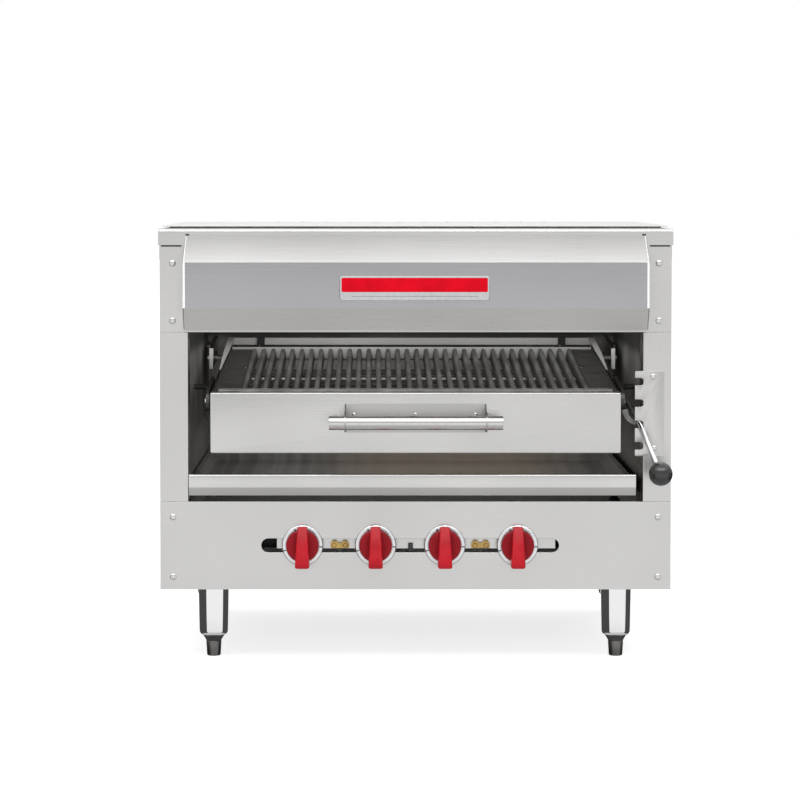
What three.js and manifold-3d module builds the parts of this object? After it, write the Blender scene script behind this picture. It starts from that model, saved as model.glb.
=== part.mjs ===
// Over-fired counter broiler: a stainless cabinet with radiant gas burners in its top, and a grate
// drawer on a carriage that four arms and a side lever raise against a notched plate.
// Millimetres, +Z up, front towards -Y, origin on the floor under the middle of the object.
import * as THREE from "three";
import { mergeVertices } from "three/addons/utils/BufferGeometryUtils.js";
import Module from "manifold-3d";

const wasm = await Module();
wasm.setup();

// ---------------------------------------------------------------- driving dimensions

const SHEET = 1.5; // stainless sheet thickness
const GAP = 0.3; // clearance where a cut or tilted piece meets its neighbour

// cabinet
const CAP_HALF = 457.2; // half of the 36 in overall width
const BODY_HALF = 455;
const FRONT = -300; // outer face of the posts and of the control panel
const BACK = 400; // outer face of the back panel
const REARMOST = 410; // end of the gas inlet, behind the back panel
const BASE_Z = 136; // underside of the base pan
const CAP_TOP = 776;
const TOP_PLATE_TOP = 781;
const CAP_LIP_BOTTOM = 747;
const CAP_OVERHANG = 3.5;
const CAP_NOSE = 6; // radius of the cap's front bend
const TOP_PLATE = { halfWidth: 453, y0: -250 };
const FLUE = { halfWidth: 268.5, y0: 300, y1: 375, slots: 12, slotPitch: 48, slotWidth: 9 };
const OPENING_HALF = 405;
const OPENING_BOTTOM = 289.8;
const OPENING_TOP = 592;
const UPPER_PANEL_TOP = 770;
const CONTROL_BOTTOM = 132.7;
const POST_RETURN = 60; // depth of the posts' inner returns
const HEM = { upper: 20, controlTop: 14, controlFoot: 28 }; // depths of the front panels' folded edges

// hood, seen from the side as [y, z]
const HOOD = { half: 411, top: [-305, 764], shoulder: [-355, 718], knee: [-355, 636], foot: [-330, 597] };
const NAME_PLATE = { x0: -134.5, x1: 129.5, z0: 650.5, z1: 693.5, thickness: 3, corner: 6 };

// hot chamber
const LINER_BOTTOM = 240;
const LINER_TOP = 745;
const LINER_BACK = 375;
const BAFFLE_FRONT = -275;
const BURNER = { count: 4, pitch: 200, halfWidth: 92, y0: -255, y1: 345, bottom: 640 };
const PLAQUE = { thickness: 6, setBack: 6 };
const BURNER_INLET = { radius: 19, height: 62 };

// controls
const CONTROL_CENTRE_X = -9.8;
const CONTROL_Z = 211.5;
const KNOB_OFFSETS = [-191.7, -61.3, 62, 191.7];
const PILOT_X = { left: -135, right: 116 };
const SLOT = { x0: -274.8, x1: 255.7, height: 25 };
const STEM_RADIUS = 4;
const STEM_END = 28; // how far the knob's stem reaches behind the panel's face
const KNOB = { radius: 28.5, back: 3, face: 14, gripFace: 38 };
const GRIP = { top: 34.5, crease: -33.5, bottom: -38, topHalf: 9, lowHalf: 13 };
const BEZEL = { radius: 36, bore: 15, thickness: 2 };
const VALVE = { halfWidth: 12, halfHeight: 14, front: 15, bonnetRadius: 9, bonnetFront: 4 };
const PILOT = { halfWidth: 17, halfHeight: 5, front: 3, back: 28, screwX: 10, screwRadius: 6, screwFront: 1.8 };
const MANIFOLD = { radius: 13.3, y: -240, z: 214, x0: -330, x1: 400 };
const INLET_X = 415;

// lift mechanism, seen from the side as [y, z]
const FRONT_CARRIAGE_PIVOT = [-250, 467];
const REAR_CARRIAGE_PIVOT = [180, 520];
const ARM = { run: 160, rise: 14, halfHeight: 19.5 }; // from a carriage pivot to its liner pivot
const PIN_ENDS = [361, 412]; // from inside the carriage to outside the liner
const PIN_RADIUS = 5;
const PIN_CLEARANCE = 0.6;
const FRONT_ARM_X = [369, 375];
const REAR_ARM_X = [385.5, 392.5];

// notched plate on the right post
const NOTCH_PLATE = { x0: 390, x1: 442, z0: 371.5, z1: 523, thickness: 3 };
const NOTCH = { zs: [389.8, 427.9, 465.9, 504.2], height: 13.5, depth: 16 };

// lever: its rod lies in one sloping plane and swings sideways in it about its root
const LEVER_ROD_RADIUS = 4;
const LEVER_NOTCH_POINT = [398.5, -301.5, 427.9];
const LEVER_BALL_CENTRE = [428, -389, 348];
const LEVER_ROOT = [380, -257];
const BALL_RADIUS = 21;
const LEVER_PIN = { radius: 3, low: -15, high: 3 }; // along the pin, from the rod's own line

// carriage, drawer and grate, which all slope up to the rear
const TILT = THREE.MathUtils.degToRad(5.1);
const GRATE = { y: -280, z: 488.3, halfWidth: 355.6, depth: 520, thickness: 22 };
const BAR_PITCH = 18.67;
const BAR_GAP = 9.6;
const BAR_GAP_COUNT = 33;
const GRATE_BORDER = 16; // solid strip across the front and the rear
const DRAWER = { half: 359.5, y0: -3, y1: 531, low: -26, wallTop: -6, rearTop: 0, apronLow: -50 };
const DRAWER_WINDOW = { half: 338, y0: 20, y1: 508 };
const CARRIAGE = { half: 364, y0: 8, y1: 592, low: -62, sideTop: -4 };
const WING = { y0: 260, y1: 420, frontTop: 6, rearTop: 9 };
const SPLASH = { front: 590.5, top: 11, corner: 8, cornerTop: 6 };
const LEDGE = { inner: 343, frontHalf: 350, frontDepth: 16, z: [-29, -26.3] };
const DRAWER_FRONT = { halfWidth: 366, z0: 376.2, z1: 484.4, depth: 15 };
const HANDLE = {
  halfLength: 153.5,
  radius: 12.5,
  y: -355,
  z: 434.6,
  bracketHalf: 126,
  plateZ: [413.4, 465],
  earZ: [418, 452],
  earThickness: 2,
};

// drip tray
const TRAY = { lipX0: -404, lipX1: 392.5, x0: -396, x1: 384.5, y0: -292, y1: 355, floorZ: 300.3, wallTop: 328 };
const TRAY_LIP = { z0: 300.3, z1: 338.5, y: -303 };
const RAIL = { inner: 372, z0: 300, z1: 325, y0: -238, y1: 350 };

// legs
const LEG_X = { front: 365, rear: 400 };
const LEG_Y = { front: -205, rear: 320 };
const LEG = { topRadius: 27.5, lowRadius: 25.5, lowZ: 42, bottom: 27.9, bore: 8.7, boreTop: 85 };
const COLLAR = { radius: 20, top: 37, chamferTop: 38, chamferRadius: 22.5 };
const FOOT = { lowRadius: 12.3, topRadius: 14, top: 27.6, studRadius: 8, studTop: 77 };

// ---------------------------------------------------------------- finishes

const FINISHES = {
  stainless: { color: 0xc8c7c5, roughness: 0.35, metalness: 1 },
  darkSteel: { color: 0x4a4a48, roughness: 0.5, metalness: 0.9 },
  castIron: { color: 0x3c3b3a, roughness: 0.7, metalness: 0.6 },
  chrome: { color: 0xe6e6e6, roughness: 0.08, metalness: 1 },
  blackPlastic: { color: 0x141414, roughness: 0.2, metalness: 0 },
  redPlastic: { color: 0xbe232d, roughness: 0.25, metalness: 0 },
  brass: { color: 0xb08a3c, roughness: 0.35, metalness: 1 },
  ceramic: { color: 0xb9a58c, roughness: 0.9, metalness: 0 },
  badge: { color: 0xc81f2b, roughness: 0.3, metalness: 0.2 },
  blackPipe: { color: 0x2b2b2b, roughness: 0.6, metalness: 0.7 },
};

// ---------------------------------------------------------------- solid helpers

function solidOf(geometry) {
  const plain = geometry.index ? geometry.toNonIndexed() : geometry.clone();
  plain.deleteAttribute("normal");
  plain.deleteAttribute("uv");
  const merged = mergeVertices(plain, 1e-3);
  const mesh = new wasm.Mesh({
    numProp: 3,
    vertProperties: merged.attributes.position.array,
    triVerts: new Uint32Array(merged.index.array),
  });
  return new wasm.Manifold(mesh);
}

function geometryOf(solid) {
  const mesh = solid.getMesh();
  const geometry = new THREE.BufferGeometry();
  geometry.setAttribute("position", new THREE.BufferAttribute(mesh.vertProperties, 3));
  geometry.setIndex(new THREE.BufferAttribute(mesh.triVerts, 1));
  geometry.computeVertexNormals();
  return geometry;
}

function join(...geometries) {
  const joined = geometries.map(solidOf).reduce((all, next) => all.add(next));
  return geometryOf(joined);
}

function cut(geometry, ...tools) {
  const left = tools.map(solidOf).reduce((rest, tool) => rest.subtract(tool), solidOf(geometry));
  return geometryOf(left);
}

// A box between two values on each axis.
function block([x0, x1], [y0, y1], [z0, z1]) {
  const box = new THREE.BoxGeometry(x1 - x0, y1 - y0, z1 - z0);
  return box.translate((x0 + x1) / 2, (y0 + y1) / 2, (z0 + z1) / 2);
}

function shapeOf(points) {
  return new THREE.Shape(points.map(([a, b]) => new THREE.Vector2(a, b)));
}

function extrusion(shape, depth) {
  return new THREE.ExtrudeGeometry(shape, { depth, bevelEnabled: false, curveSegments: 8 });
}

// An outline in [y, z], extruded along X.
function alongX(shape, x0, x1) {
  const turn = new THREE.Matrix4().set(0, 0, 1, x0, 1, 0, 0, 0, 0, 1, 0, 0, 0, 0, 0, 1);
  return extrusion(shape, x1 - x0).applyMatrix4(turn);
}

// An outline in [x, z], extruded along Y.
function alongY(shape, y0, y1) {
  return extrusion(shape, y1 - y0).rotateX(Math.PI / 2).translate(0, y1, 0);
}

// An outline in [x, y], extruded along Z.
function alongZ(shape, z0, z1) {
  return extrusion(shape, z1 - z0).translate(0, 0, z0);
}

function cylinderX(radius, x0, x1, [y, z], sides = 20) {
  const cylinder = new THREE.CylinderGeometry(radius, radius, x1 - x0, sides);
  return cylinder.rotateZ(Math.PI / 2).translate((x0 + x1) / 2, y, z);
}

function cylinderY(radius, y0, y1, [x, z], sides = 20) {
  return new THREE.CylinderGeometry(radius, radius, y1 - y0, sides).translate(x, (y0 + y1) / 2, z);
}

// An outline with round ends, long in its first direction.
function stadium(a0, a1, centre, height) {
  const radius = height / 2;
  const shape = new THREE.Shape();
  shape.absarc(a1 - radius, centre, radius, -Math.PI / 2, Math.PI / 2, false);
  shape.absarc(a0 + radius, centre, radius, Math.PI / 2, (3 * Math.PI) / 2, false);
  return shape;
}

function roundedRectangle(a0, a1, b0, b1, radius) {
  const shape = new THREE.Shape();
  shape.absarc(a1 - radius, b0 + radius, radius, -Math.PI / 2, 0, false);
  shape.absarc(a1 - radius, b1 - radius, radius, 0, Math.PI / 2, false);
  shape.absarc(a0 + radius, b1 - radius, radius, Math.PI / 2, Math.PI, false);
  shape.absarc(a0 + radius, b0 + radius, radius, Math.PI, (3 * Math.PI) / 2, false);
  return shape;
}

// A solid of revolution about Z from [radius, z] points that start and end on the axis.
function turned(points, sides) {
  const profile = points.map(([radius, z]) => new THREE.Vector2(radius, z));
  return new THREE.LatheGeometry(profile, sides).rotateX(Math.PI / 2);
}

function mirroredPair([low, high], side) {
  return side > 0 ? [low, high] : [-high, -low];
}

// ---------------------------------------------------------------- the object

const broiler = new THREE.Group();
const sloping = new THREE.Group(); // the carriage's own frame: Y along the grate, Z square to it
sloping.position.set(0, GRATE.y, GRATE.z);
sloping.rotation.x = TILT;
broiler.add(sloping);

function addPiece(name, geometry, finish, parent = broiler) {
  const piece = new THREE.Mesh(geometry, new THREE.MeshStandardMaterial(FINISHES[finish]));
  piece.name = name;
  parent.add(piece);
  return piece;
}

const SIDES = [
  { name: "left", sign: -1 },
  { name: "right", sign: 1 },
];

// -- cabinet shell

function flueSlots() {
  const slots = [];
  for (let i = 0; i < FLUE.slots; i += 1) {
    const x = (i - (FLUE.slots - 1) / 2) * FLUE.slotPitch;
    const span = [x - FLUE.slotWidth / 2, x + FLUE.slotWidth / 2];
    slots.push(block(span, [FLUE.y0, FLUE.y1], [CAP_TOP, TOP_PLATE_TOP + 1]));
  }
  return slots;
}

function topCap() {
  const outer = FRONT - CAP_OVERHANG;
  const inner = outer + SHEET;
  const under = CAP_TOP - SHEET;
  const noseY = outer + CAP_NOSE;
  const noseZ = CAP_TOP - CAP_NOSE;
  const profile = new THREE.Shape();
  profile.moveTo(outer, CAP_LIP_BOTTOM);
  profile.lineTo(inner, CAP_LIP_BOTTOM);
  profile.lineTo(inner, noseZ);
  profile.absarc(noseY, noseZ, CAP_NOSE - SHEET, Math.PI, Math.PI / 2, true);
  profile.lineTo(BACK, under);
  profile.lineTo(BACK, CAP_TOP);
  profile.absarc(noseY, noseZ, CAP_NOSE, Math.PI / 2, Math.PI, false);
  const sheet = alongX(profile, -CAP_HALF, CAP_HALF);
  const lips = SIDES.map(({ sign }) =>
    block(mirroredPair([CAP_HALF - SHEET, CAP_HALF], sign), [inner, BACK], [CAP_LIP_BOTTOM, under + 0.5]),
  );
  const flue = block([-FLUE.halfWidth, FLUE.halfWidth], [FLUE.y0, FLUE.y1], [under - 1, CAP_TOP + 1]);
  return cut(join(sheet, ...lips), flue);
}

function addCabinetShell() {
  const inside = BODY_HALF - SHEET;
  const under = CAP_TOP - SHEET - GAP;
  const basePan = block([-inside, inside], [FRONT + SHEET, BACK - SHEET], [BASE_Z, BASE_Z + SHEET]);
  addPiece("base_pan", basePan, "stainless");
  for (const { name, sign } of SIDES) {
    const panel = block(mirroredPair([inside, BODY_HALF], sign), [FRONT + SHEET, BACK], [BASE_Z, under]);
    addPiece(name + "_side_panel", panel, "stainless");
  }
  const back = block([-inside, inside], [BACK - SHEET, BACK], [BASE_Z, under]);
  const inletHole = cylinderY(MANIFOLD.radius + 2, BACK - 5, BACK + 5, [INLET_X, MANIFOLD.z], 24);
  addPiece("back_panel", cut(back, inletHole), "stainless");
  addPiece("top_cap", topCap(), "stainless");
  const { halfWidth, y0 } = TOP_PLATE;
  const plate = block([-halfWidth, halfWidth], [y0, BACK], [CAP_TOP + GAP, TOP_PLATE_TOP]);
  addPiece("top_plate", cut(plate, ...flueSlots()), "stainless");
}

// -- front of the cabinet

function addPosts() {
  for (const { name, sign } of SIDES) {
    const profile = shapeOf([
      [sign * OPENING_HALF, FRONT],
      [sign * BODY_HALF, FRONT],
      [sign * BODY_HALF, FRONT + SHEET],
      [sign * (OPENING_HALF + SHEET), FRONT + SHEET],
      [sign * (OPENING_HALF + SHEET), FRONT + POST_RETURN],
      [sign * OPENING_HALF, FRONT + POST_RETURN],
    ]);
    addPiece(name + "_post", alongZ(profile, OPENING_BOTTOM + GAP, OPENING_TOP - GAP), "stainless");
  }
}

function addUpperFrontPanel() {
  const sheet = [FRONT, FRONT + SHEET];
  const face = block([-BODY_HALF, BODY_HALF], sheet, [OPENING_TOP, UPPER_PANEL_TOP]);
  const span = [-OPENING_HALF, OPENING_HALF];
  const hem = block(span, [FRONT, FRONT + HEM.upper], [OPENING_TOP, OPENING_TOP + SHEET]);
  addPiece("upper_front_panel", join(face, hem), "stainless");
}

function addControlPanel() {
  const half = OPENING_HALF;
  const face = block([-BODY_HALF, BODY_HALF], [FRONT, FRONT + SHEET], [CONTROL_BOTTOM, OPENING_BOTTOM]);
  const footZ = [CONTROL_BOTTOM, CONTROL_BOTTOM + SHEET];
  const headZ = [OPENING_BOTTOM - SHEET, OPENING_BOTTOM];
  const foot = block([-half, half], [FRONT, FRONT + HEM.controlFoot], footZ);
  const head = block([-half, half], [FRONT, FRONT + HEM.controlTop], headZ);
  const slot = alongY(stadium(SLOT.x0, SLOT.x1, CONTROL_Z, SLOT.height), FRONT - 1, FRONT + 5);
  addPiece("control_panel", cut(join(face, foot, head), slot), "stainless");
}

// The hood is a bent sheet with closed ends: a sloping top, an upright face and an undercut foot.
function addHood() {
  const { half, top, shoulder, knee, foot } = HOOD;
  const endTop = CAP_LIP_BOTTOM - 2; // the closed ends pass just under the cap's lip
  const sheet = shapeOf([
    top,
    shoulder,
    knee,
    foot,
    [foot[0] + 1.8, foot[1]],
    [knee[0] + SHEET, knee[1] + 0.5],
    [shoulder[0] + SHEET, shoulder[1] - 0.6],
    [top[0] + 0.2, top[1] - 2],
  ]);
  const end = shapeOf([
    top,
    shoulder,
    knee,
    foot,
    [FRONT, foot[1]],
    [FRONT, endTop],
    [top[0] + 0.5, endTop],
    [top[0] + 0.5, top[1] - 0.5],
  ]);
  const ends = [alongX(end, -half, -half + SHEET), alongX(end, half - SHEET, half)];
  addPiece("hood", join(alongX(sheet, -half, half), ...ends), "stainless");
  const { x0, x1, z0, z1, thickness, corner } = NAME_PLATE;
  const plate = roundedRectangle(x0, x1, z0, z1, corner);
  addPiece("name_plate", alongY(plate, shoulder[0] - thickness, shoulder[0]), "badge");
}

// -- hot chamber

function linerPivotHoles(sign) {
  return [FRONT_CARRIAGE_PIVOT, REAR_CARRIAGE_PIVOT].map(([y, z]) => {
    const [x0, x1] = mirroredPair([OPENING_HALF, OPENING_HALF + 10], sign);
    return cylinderX(PIN_RADIUS + PIN_CLEARANCE, x0, x1, [y + ARM.run, z + ARM.rise], 24);
  });
}

function addLiners() {
  const inner = OPENING_HALF + SHEET;
  const walls = [FRONT + SHEET + GAP, LINER_BACK];
  for (const { name, sign } of SIDES) {
    const wall = block(mirroredPair([inner, inner + SHEET], sign), walls, [LINER_BOTTOM, LINER_TOP]);
    addPiece(name + "_liner", cut(wall, ...linerPivotHoles(sign)), "darkSteel");
  }
  const rear = block([-inner, inner], [LINER_BACK - SHEET, LINER_BACK], [LINER_BOTTOM, LINER_TOP]);
  addPiece("rear_liner", rear, "darkSteel");
  const span = [BAFFLE_FRONT, LINER_BACK - SHEET];
  addPiece("heat_baffle", block([-inner, inner], span, [LINER_TOP - SHEET, LINER_TOP]), "darkSteel");
}

// A burner is a hollow sheet box. A ceramic plaque closes its underside, set back from the rim, and
// gas and air come in through a round inlet in its rear wall.
function burnerGeometry() {
  const { halfWidth, y0, y1, bottom } = BURNER;
  const top = LINER_TOP - SHEET;
  const inner = [-halfWidth + SHEET, halfWidth - SHEET];
  const length = [y0 + SHEET, y1 - SHEET];
  const plaqueTop = bottom + PLAQUE.setBack + PLAQUE.thickness;
  const recess = block(inner, length, [bottom - 1, bottom + PLAQUE.setBack]);
  const plenum = block(inner, length, [plaqueTop, top - SHEET]);
  const inlet = cylinderY(BURNER_INLET.radius, y1 - 5, y1 + 1, [0, bottom + BURNER_INLET.height], 24);
  return cut(block([-halfWidth, halfWidth], [y0, y1], [bottom, top]), recess, plenum, inlet);
}

function addBurners() {
  for (let i = 0; i < BURNER.count; i += 1) {
    const burner = addPiece("burner_" + (i + 1), burnerGeometry(), "ceramic");
    burner.position.x = (i - (BURNER.count - 1) / 2) * BURNER.pitch;
  }
}

// -- gas controls

function addGasTrain() {
  const { radius, y, z, x0, x1 } = MANIFOLD;
  addPiece("gas_manifold", cylinderX(radius, x0, x1, [y, z]), "blackPipe");
  const inlet = cylinderY(radius, y - radius, REARMOST, [INLET_X, z], 20);
  addPiece("gas_inlet_pipe", inlet, "blackPipe");
  const clear = y - radius - GAP - FRONT; // from the panel's face to just short of the manifold
  KNOB_OFFSETS.forEach((offset, i) => {
    const { halfWidth, halfHeight, front, bonnetRadius, bonnetFront } = VALVE;
    const body = block([-halfWidth, halfWidth], [front, clear], [-halfHeight, halfHeight]);
    const bonnet = cylinderY(bonnetRadius, bonnetFront, front + 1, [0, 0]);
    const bore = cylinderY(STEM_RADIUS + PIN_CLEARANCE, bonnetFront - 1, STEM_END + 6, [0, 0]);
    const valve = addPiece("gas_valve_" + (i + 1), cut(join(body, bonnet), bore), "brass");
    valve.position.set(CONTROL_CENTRE_X + offset, FRONT, CONTROL_Z);
  });
  for (const { name } of SIDES) {
    const { halfWidth, halfHeight, front, back, screwX, screwRadius, screwFront } = PILOT;
    const body = block([-halfWidth, halfWidth], [front, back], [-halfHeight, halfHeight]);
    const screws = [-screwX, screwX].map((x) => cylinderY(screwRadius, screwFront, back / 2, [x, 0], 16));
    const pilot = addPiece("pilot_valve_" + name, join(body, ...screws), "brass");
    pilot.position.set(PILOT_X[name], FRONT, CONTROL_Z);
  }
}

function knobGeometry() {
  const { radius, back, face, gripFace } = KNOB;
  const { top, crease, bottom, topHalf, lowHalf } = GRIP;
  const disc = cylinderY(radius, -face, -back, [0, 0], 36);
  const stem = cylinderY(STEM_RADIUS, -back - 1, STEM_END, [0, 0]);
  const half = [
    [lowHalf - 4, bottom],
    [lowHalf, crease],
    [topHalf, top - 2],
    [topHalf - 3, top],
  ];
  const otherHalf = half.map(([x, z]) => [-x, z]).reverse();
  const grip = alongY(shapeOf([...half, ...otherHalf]), -gripFace, -back - 1);
  return join(disc, stem, grip);
}

function bezelGeometry() {
  const ring = new THREE.Shape();
  ring.absarc(0, 0, BEZEL.radius, 0, 2 * Math.PI, false);
  const hole = new THREE.Path();
  hole.absarc(0, 0, BEZEL.bore, 0, 2 * Math.PI, true);
  ring.holes.push(hole);
  return alongY(ring, -BEZEL.thickness, 0);
}

function addKnobs() {
  KNOB_OFFSETS.forEach((offset, i) => {
    const bezel = addPiece("bezel_" + (i + 1), bezelGeometry(), "stainless");
    const knob = addPiece("knob_" + (i + 1), knobGeometry(), "redPlastic");
    for (const piece of [bezel, knob]) {
      piece.position.set(CONTROL_CENTRE_X + offset, FRONT, CONTROL_Z);
    }
  });
}

// -- drip tray and its runners

function addDripTray() {
  const { lipX0, lipX1, x0, x1, y0, y1, floorZ, wallTop } = TRAY;
  const body = block([x0, x1], [y0, y1], [floorZ, wallTop]);
  const hollow = block([x0 + SHEET, x1 - SHEET], [y0 + SHEET, y1 - SHEET], [floorZ + SHEET, wallTop + 1]);
  const lipFace = block([lipX0, lipX1], [TRAY_LIP.y, TRAY_LIP.y + SHEET], [TRAY_LIP.z0, TRAY_LIP.z1]);
  const lipTop = block([lipX0, lipX1], [TRAY_LIP.y, y0 + SHEET], [TRAY_LIP.z1 - SHEET, TRAY_LIP.z1]);
  const lipWall = block([x0, x1], [y0, y0 + SHEET], [wallTop - 2, TRAY_LIP.z1]);
  addPiece("drip_tray", join(cut(body, hollow), lipFace, lipTop, lipWall), "stainless");
}

function addTrayRails() {
  for (const { name, sign } of SIDES) {
    const outer = OPENING_HALF + SHEET;
    const { inner, z0, z1, y0, y1 } = RAIL;
    const profile = shapeOf([
      [sign * outer, z1],
      [sign * (outer - SHEET), z1],
      [sign * (outer - SHEET), z0],
      [sign * inner, z0],
      [sign * inner, z0 - SHEET],
      [sign * outer, z0 - SHEET],
    ]);
    addPiece("tray_rail_" + name, alongY(profile, y0, y1), "darkSteel");
  }
}

// -- notched plate

function addNotchPlate() {
  const { x0, x1, z0, z1, thickness } = NOTCH_PLATE;
  const plate = alongY(roundedRectangle(x0, x1, z0, z1, 3), FRONT - thickness, FRONT);
  const notches = NOTCH.zs.map((z) => {
    const outline = stadium(x0 - NOTCH.height, x0 + NOTCH.depth, z, NOTCH.height);
    return alongY(outline, FRONT - thickness - 1, FRONT + 1);
  });
  addPiece("notch_plate", cut(plate, ...notches), "stainless");
}

// -- lift arms and lever

// A flat bar with round ends from a carriage pivot to its liner pivot, with a pin at each end.
function armGeometry([y, z], [x0, x1], sign) {
  const length = Math.hypot(ARM.run, ARM.rise);
  const outline = stadium(-ARM.halfHeight, length + ARM.halfHeight, 0, 2 * ARM.halfHeight);
  const bar = alongX(outline, x0, x1).rotateX(Math.atan2(ARM.rise, ARM.run)).translate(0, y, z);
  const carriagePin = cylinderX(PIN_RADIUS, PIN_ENDS[0], x0 + 1, [y, z]);
  const linerPin = cylinderX(PIN_RADIUS, x1 - 1, PIN_ENDS[1], [y + ARM.run, z + ARM.rise]);
  const arm = join(bar, carriagePin, linerPin);
  return sign > 0 ? arm : mirrorX(arm);
}

function mirrorX(geometry) {
  return geometryOf(solidOf(geometry).mirror([1, 0, 0]));
}

function leverSlope() {
  const [, ny, nz] = LEVER_NOTCH_POINT;
  const [, by, bz] = LEVER_BALL_CENTRE;
  return (nz - bz) / (ny - by);
}

function leverRoot() {
  const [x, y] = LEVER_ROOT;
  return new THREE.Vector3(x, y, LEVER_NOTCH_POINT[2] + (y - LEVER_NOTCH_POINT[1]) * leverSlope());
}

// A short pin square to the lever's plane, which the lever swings on.
function leverPin(radius, from, to) {
  const root = leverRoot();
  const pin = new THREE.CylinderGeometry(radius, radius, to - from, 16).translate(0, (from + to) / 2, 0);
  return pin.rotateX(Math.PI / 2 + Math.atan(leverSlope())).translate(root.x, root.y, root.z);
}

function addArms() {
  for (const { name, sign } of SIDES) {
    let front = armGeometry(FRONT_CARRIAGE_PIVOT, FRONT_ARM_X, sign);
    if (sign > 0) {
      const bore = leverPin(LEVER_PIN.radius + PIN_CLEARANCE, LEVER_PIN.low - 25, LEVER_PIN.high + 3);
      front = cut(join(front, leverLug()), bore);
    }
    addPiece("front_arm_" + name, front, "darkSteel");
    addPiece("rear_arm_" + name, armGeometry(REAR_CARRIAGE_PIVOT, REAR_ARM_X, sign), "stainless");
  }
}

// The lug on the right front arm that holds the lever's pin, under the rod's root.
function leverLug() {
  const root = leverRoot();
  const lug = block([-6, 6], [-8, 12], [-16, -LEVER_ROD_RADIUS - 1]);
  return lug.rotateX(Math.atan(leverSlope())).translate(root.x, root.y, root.z);
}

function addLever() {
  const root = leverRoot();
  const notch = new THREE.Vector3(...LEVER_NOTCH_POINT);
  const ball = new THREE.Vector3(...LEVER_BALL_CENTRE);
  const bend = new THREE.CurvePath();
  const before = root.clone().lerp(notch, 0.75);
  const after = notch.clone().lerp(ball, 0.2);
  bend.add(new THREE.LineCurve3(root, before));
  bend.add(new THREE.QuadraticBezierCurve3(before, notch, after));
  bend.add(new THREE.LineCurve3(after, ball));
  const section = new THREE.Shape();
  section.absarc(0, 0, LEVER_ROD_RADIUS, 0, 2 * Math.PI, false);
  const options = { steps: 24, curveSegments: 5, extrudePath: bend, bevelEnabled: false };
  const rod = new THREE.ExtrudeGeometry(section, options);
  const knobSpace = new THREE.SphereGeometry(BALL_RADIUS + GAP, 18, 12).translate(ball.x, ball.y, ball.z);
  const pin = leverPin(LEVER_PIN.radius, LEVER_PIN.low, LEVER_PIN.high);
  addPiece("lever_rod", cut(join(rod, pin), knobSpace), "chrome");
  const sphere = new THREE.SphereGeometry(BALL_RADIUS, 18, 12).translate(ball.x, ball.y, ball.z);
  addPiece("lever_ball", sphere, "blackPlastic");
}

// -- carriage, drawer and grate, in the sloping frame

function carriagePinHoles(sign) {
  return [FRONT_CARRIAGE_PIVOT, REAR_CARRIAGE_PIVOT].map(([y, z]) => {
    const [x0, x1] = mirroredPair([CARRIAGE.half - 9, CARRIAGE.half + 6], sign);
    const hole = cylinderX(PIN_RADIUS + PIN_CLEARANCE, x0, x1, [y - GRATE.y, z - GRATE.z], 24);
    return hole.rotateX(-TILT);
  });
}

function addCarriage() {
  const { half, y0, y1, low, sideTop } = CARRIAGE;
  const side = shapeOf([
    [y0, low],
    [y1, low],
    [y1, WING.rearTop],
    [WING.y1, WING.frontTop],
    [WING.y0, sideTop],
    [y0, sideTop],
  ]);
  const pieces = [];
  for (const { sign } of SIDES) {
    const wall = mirroredPair([half - SHEET, half], sign);
    pieces.push(alongX(side, wall[0], wall[1]));
    pieces.push(block(mirroredPair([LEDGE.inner, half - 1], sign), [y0, y1], LEDGE.z));
  }
  const splash = shapeOf([
    [-half, low],
    [half, low],
    [half, SPLASH.cornerTop],
    [half - SPLASH.corner, SPLASH.top],
    [-half + SPLASH.corner, SPLASH.top],
    [-half, SPLASH.cornerTop],
  ]);
  pieces.push(alongY(splash, SPLASH.front, y1));
  pieces.push(block([-LEDGE.frontHalf, LEDGE.frontHalf], [y0, y0 + LEDGE.frontDepth], LEDGE.z));
  const frame = join(...pieces);
  const holes = SIDES.flatMap(({ sign }) => carriagePinHoles(sign));
  addPiece("carriage_frame", cut(frame, ...holes), "stainless", sloping);
}

function grateGeometry() {
  const plate = block([-GRATE.halfWidth, GRATE.halfWidth], [0, GRATE.depth], [-GRATE.thickness, 0]);
  const gaps = [];
  for (let i = 0; i < BAR_GAP_COUNT; i += 1) {
    const x = (i - (BAR_GAP_COUNT - 1) / 2) * BAR_PITCH;
    const span = [x - BAR_GAP / 2, x + BAR_GAP / 2];
    gaps.push(block(span, [GRATE_BORDER, GRATE.depth - GRATE_BORDER], [-GRATE.thickness - 1, 1]));
  }
  return cut(plate, ...gaps);
}

function addDrawer() {
  const { half, y0, y1, low, wallTop, rearTop, apronLow } = DRAWER;
  const ledgeTop = -GRATE.thickness - GAP;
  const { half: windowHalf, y0: windowY0, y1: windowY1 } = DRAWER_WINDOW;
  const ledge = cut(
    block([-half, half], [y0, y1], [low, ledgeTop]),
    block([-windowHalf, windowHalf], [windowY0, windowY1], [low - 1, ledgeTop + 1]),
  );
  const walls = SIDES.map(({ sign }) => {
    return block(mirroredPair([half - SHEET, half], sign), [y0, y1], [low, wallTop]);
  });
  const rear = block([-half + GAP, half - GAP], [y1 - SHEET, y1 + GAP], [low + GAP, rearTop]);
  const apron = block([-half, half], [y0, y0 + SHEET], [apronLow, wallTop]);
  const frame = join(ledge, ...walls, rear, apron);
  addPiece("drawer_frame", frame, "darkSteel", sloping);
  addPiece("grate", grateGeometry(), "castIron", sloping);
}

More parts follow.
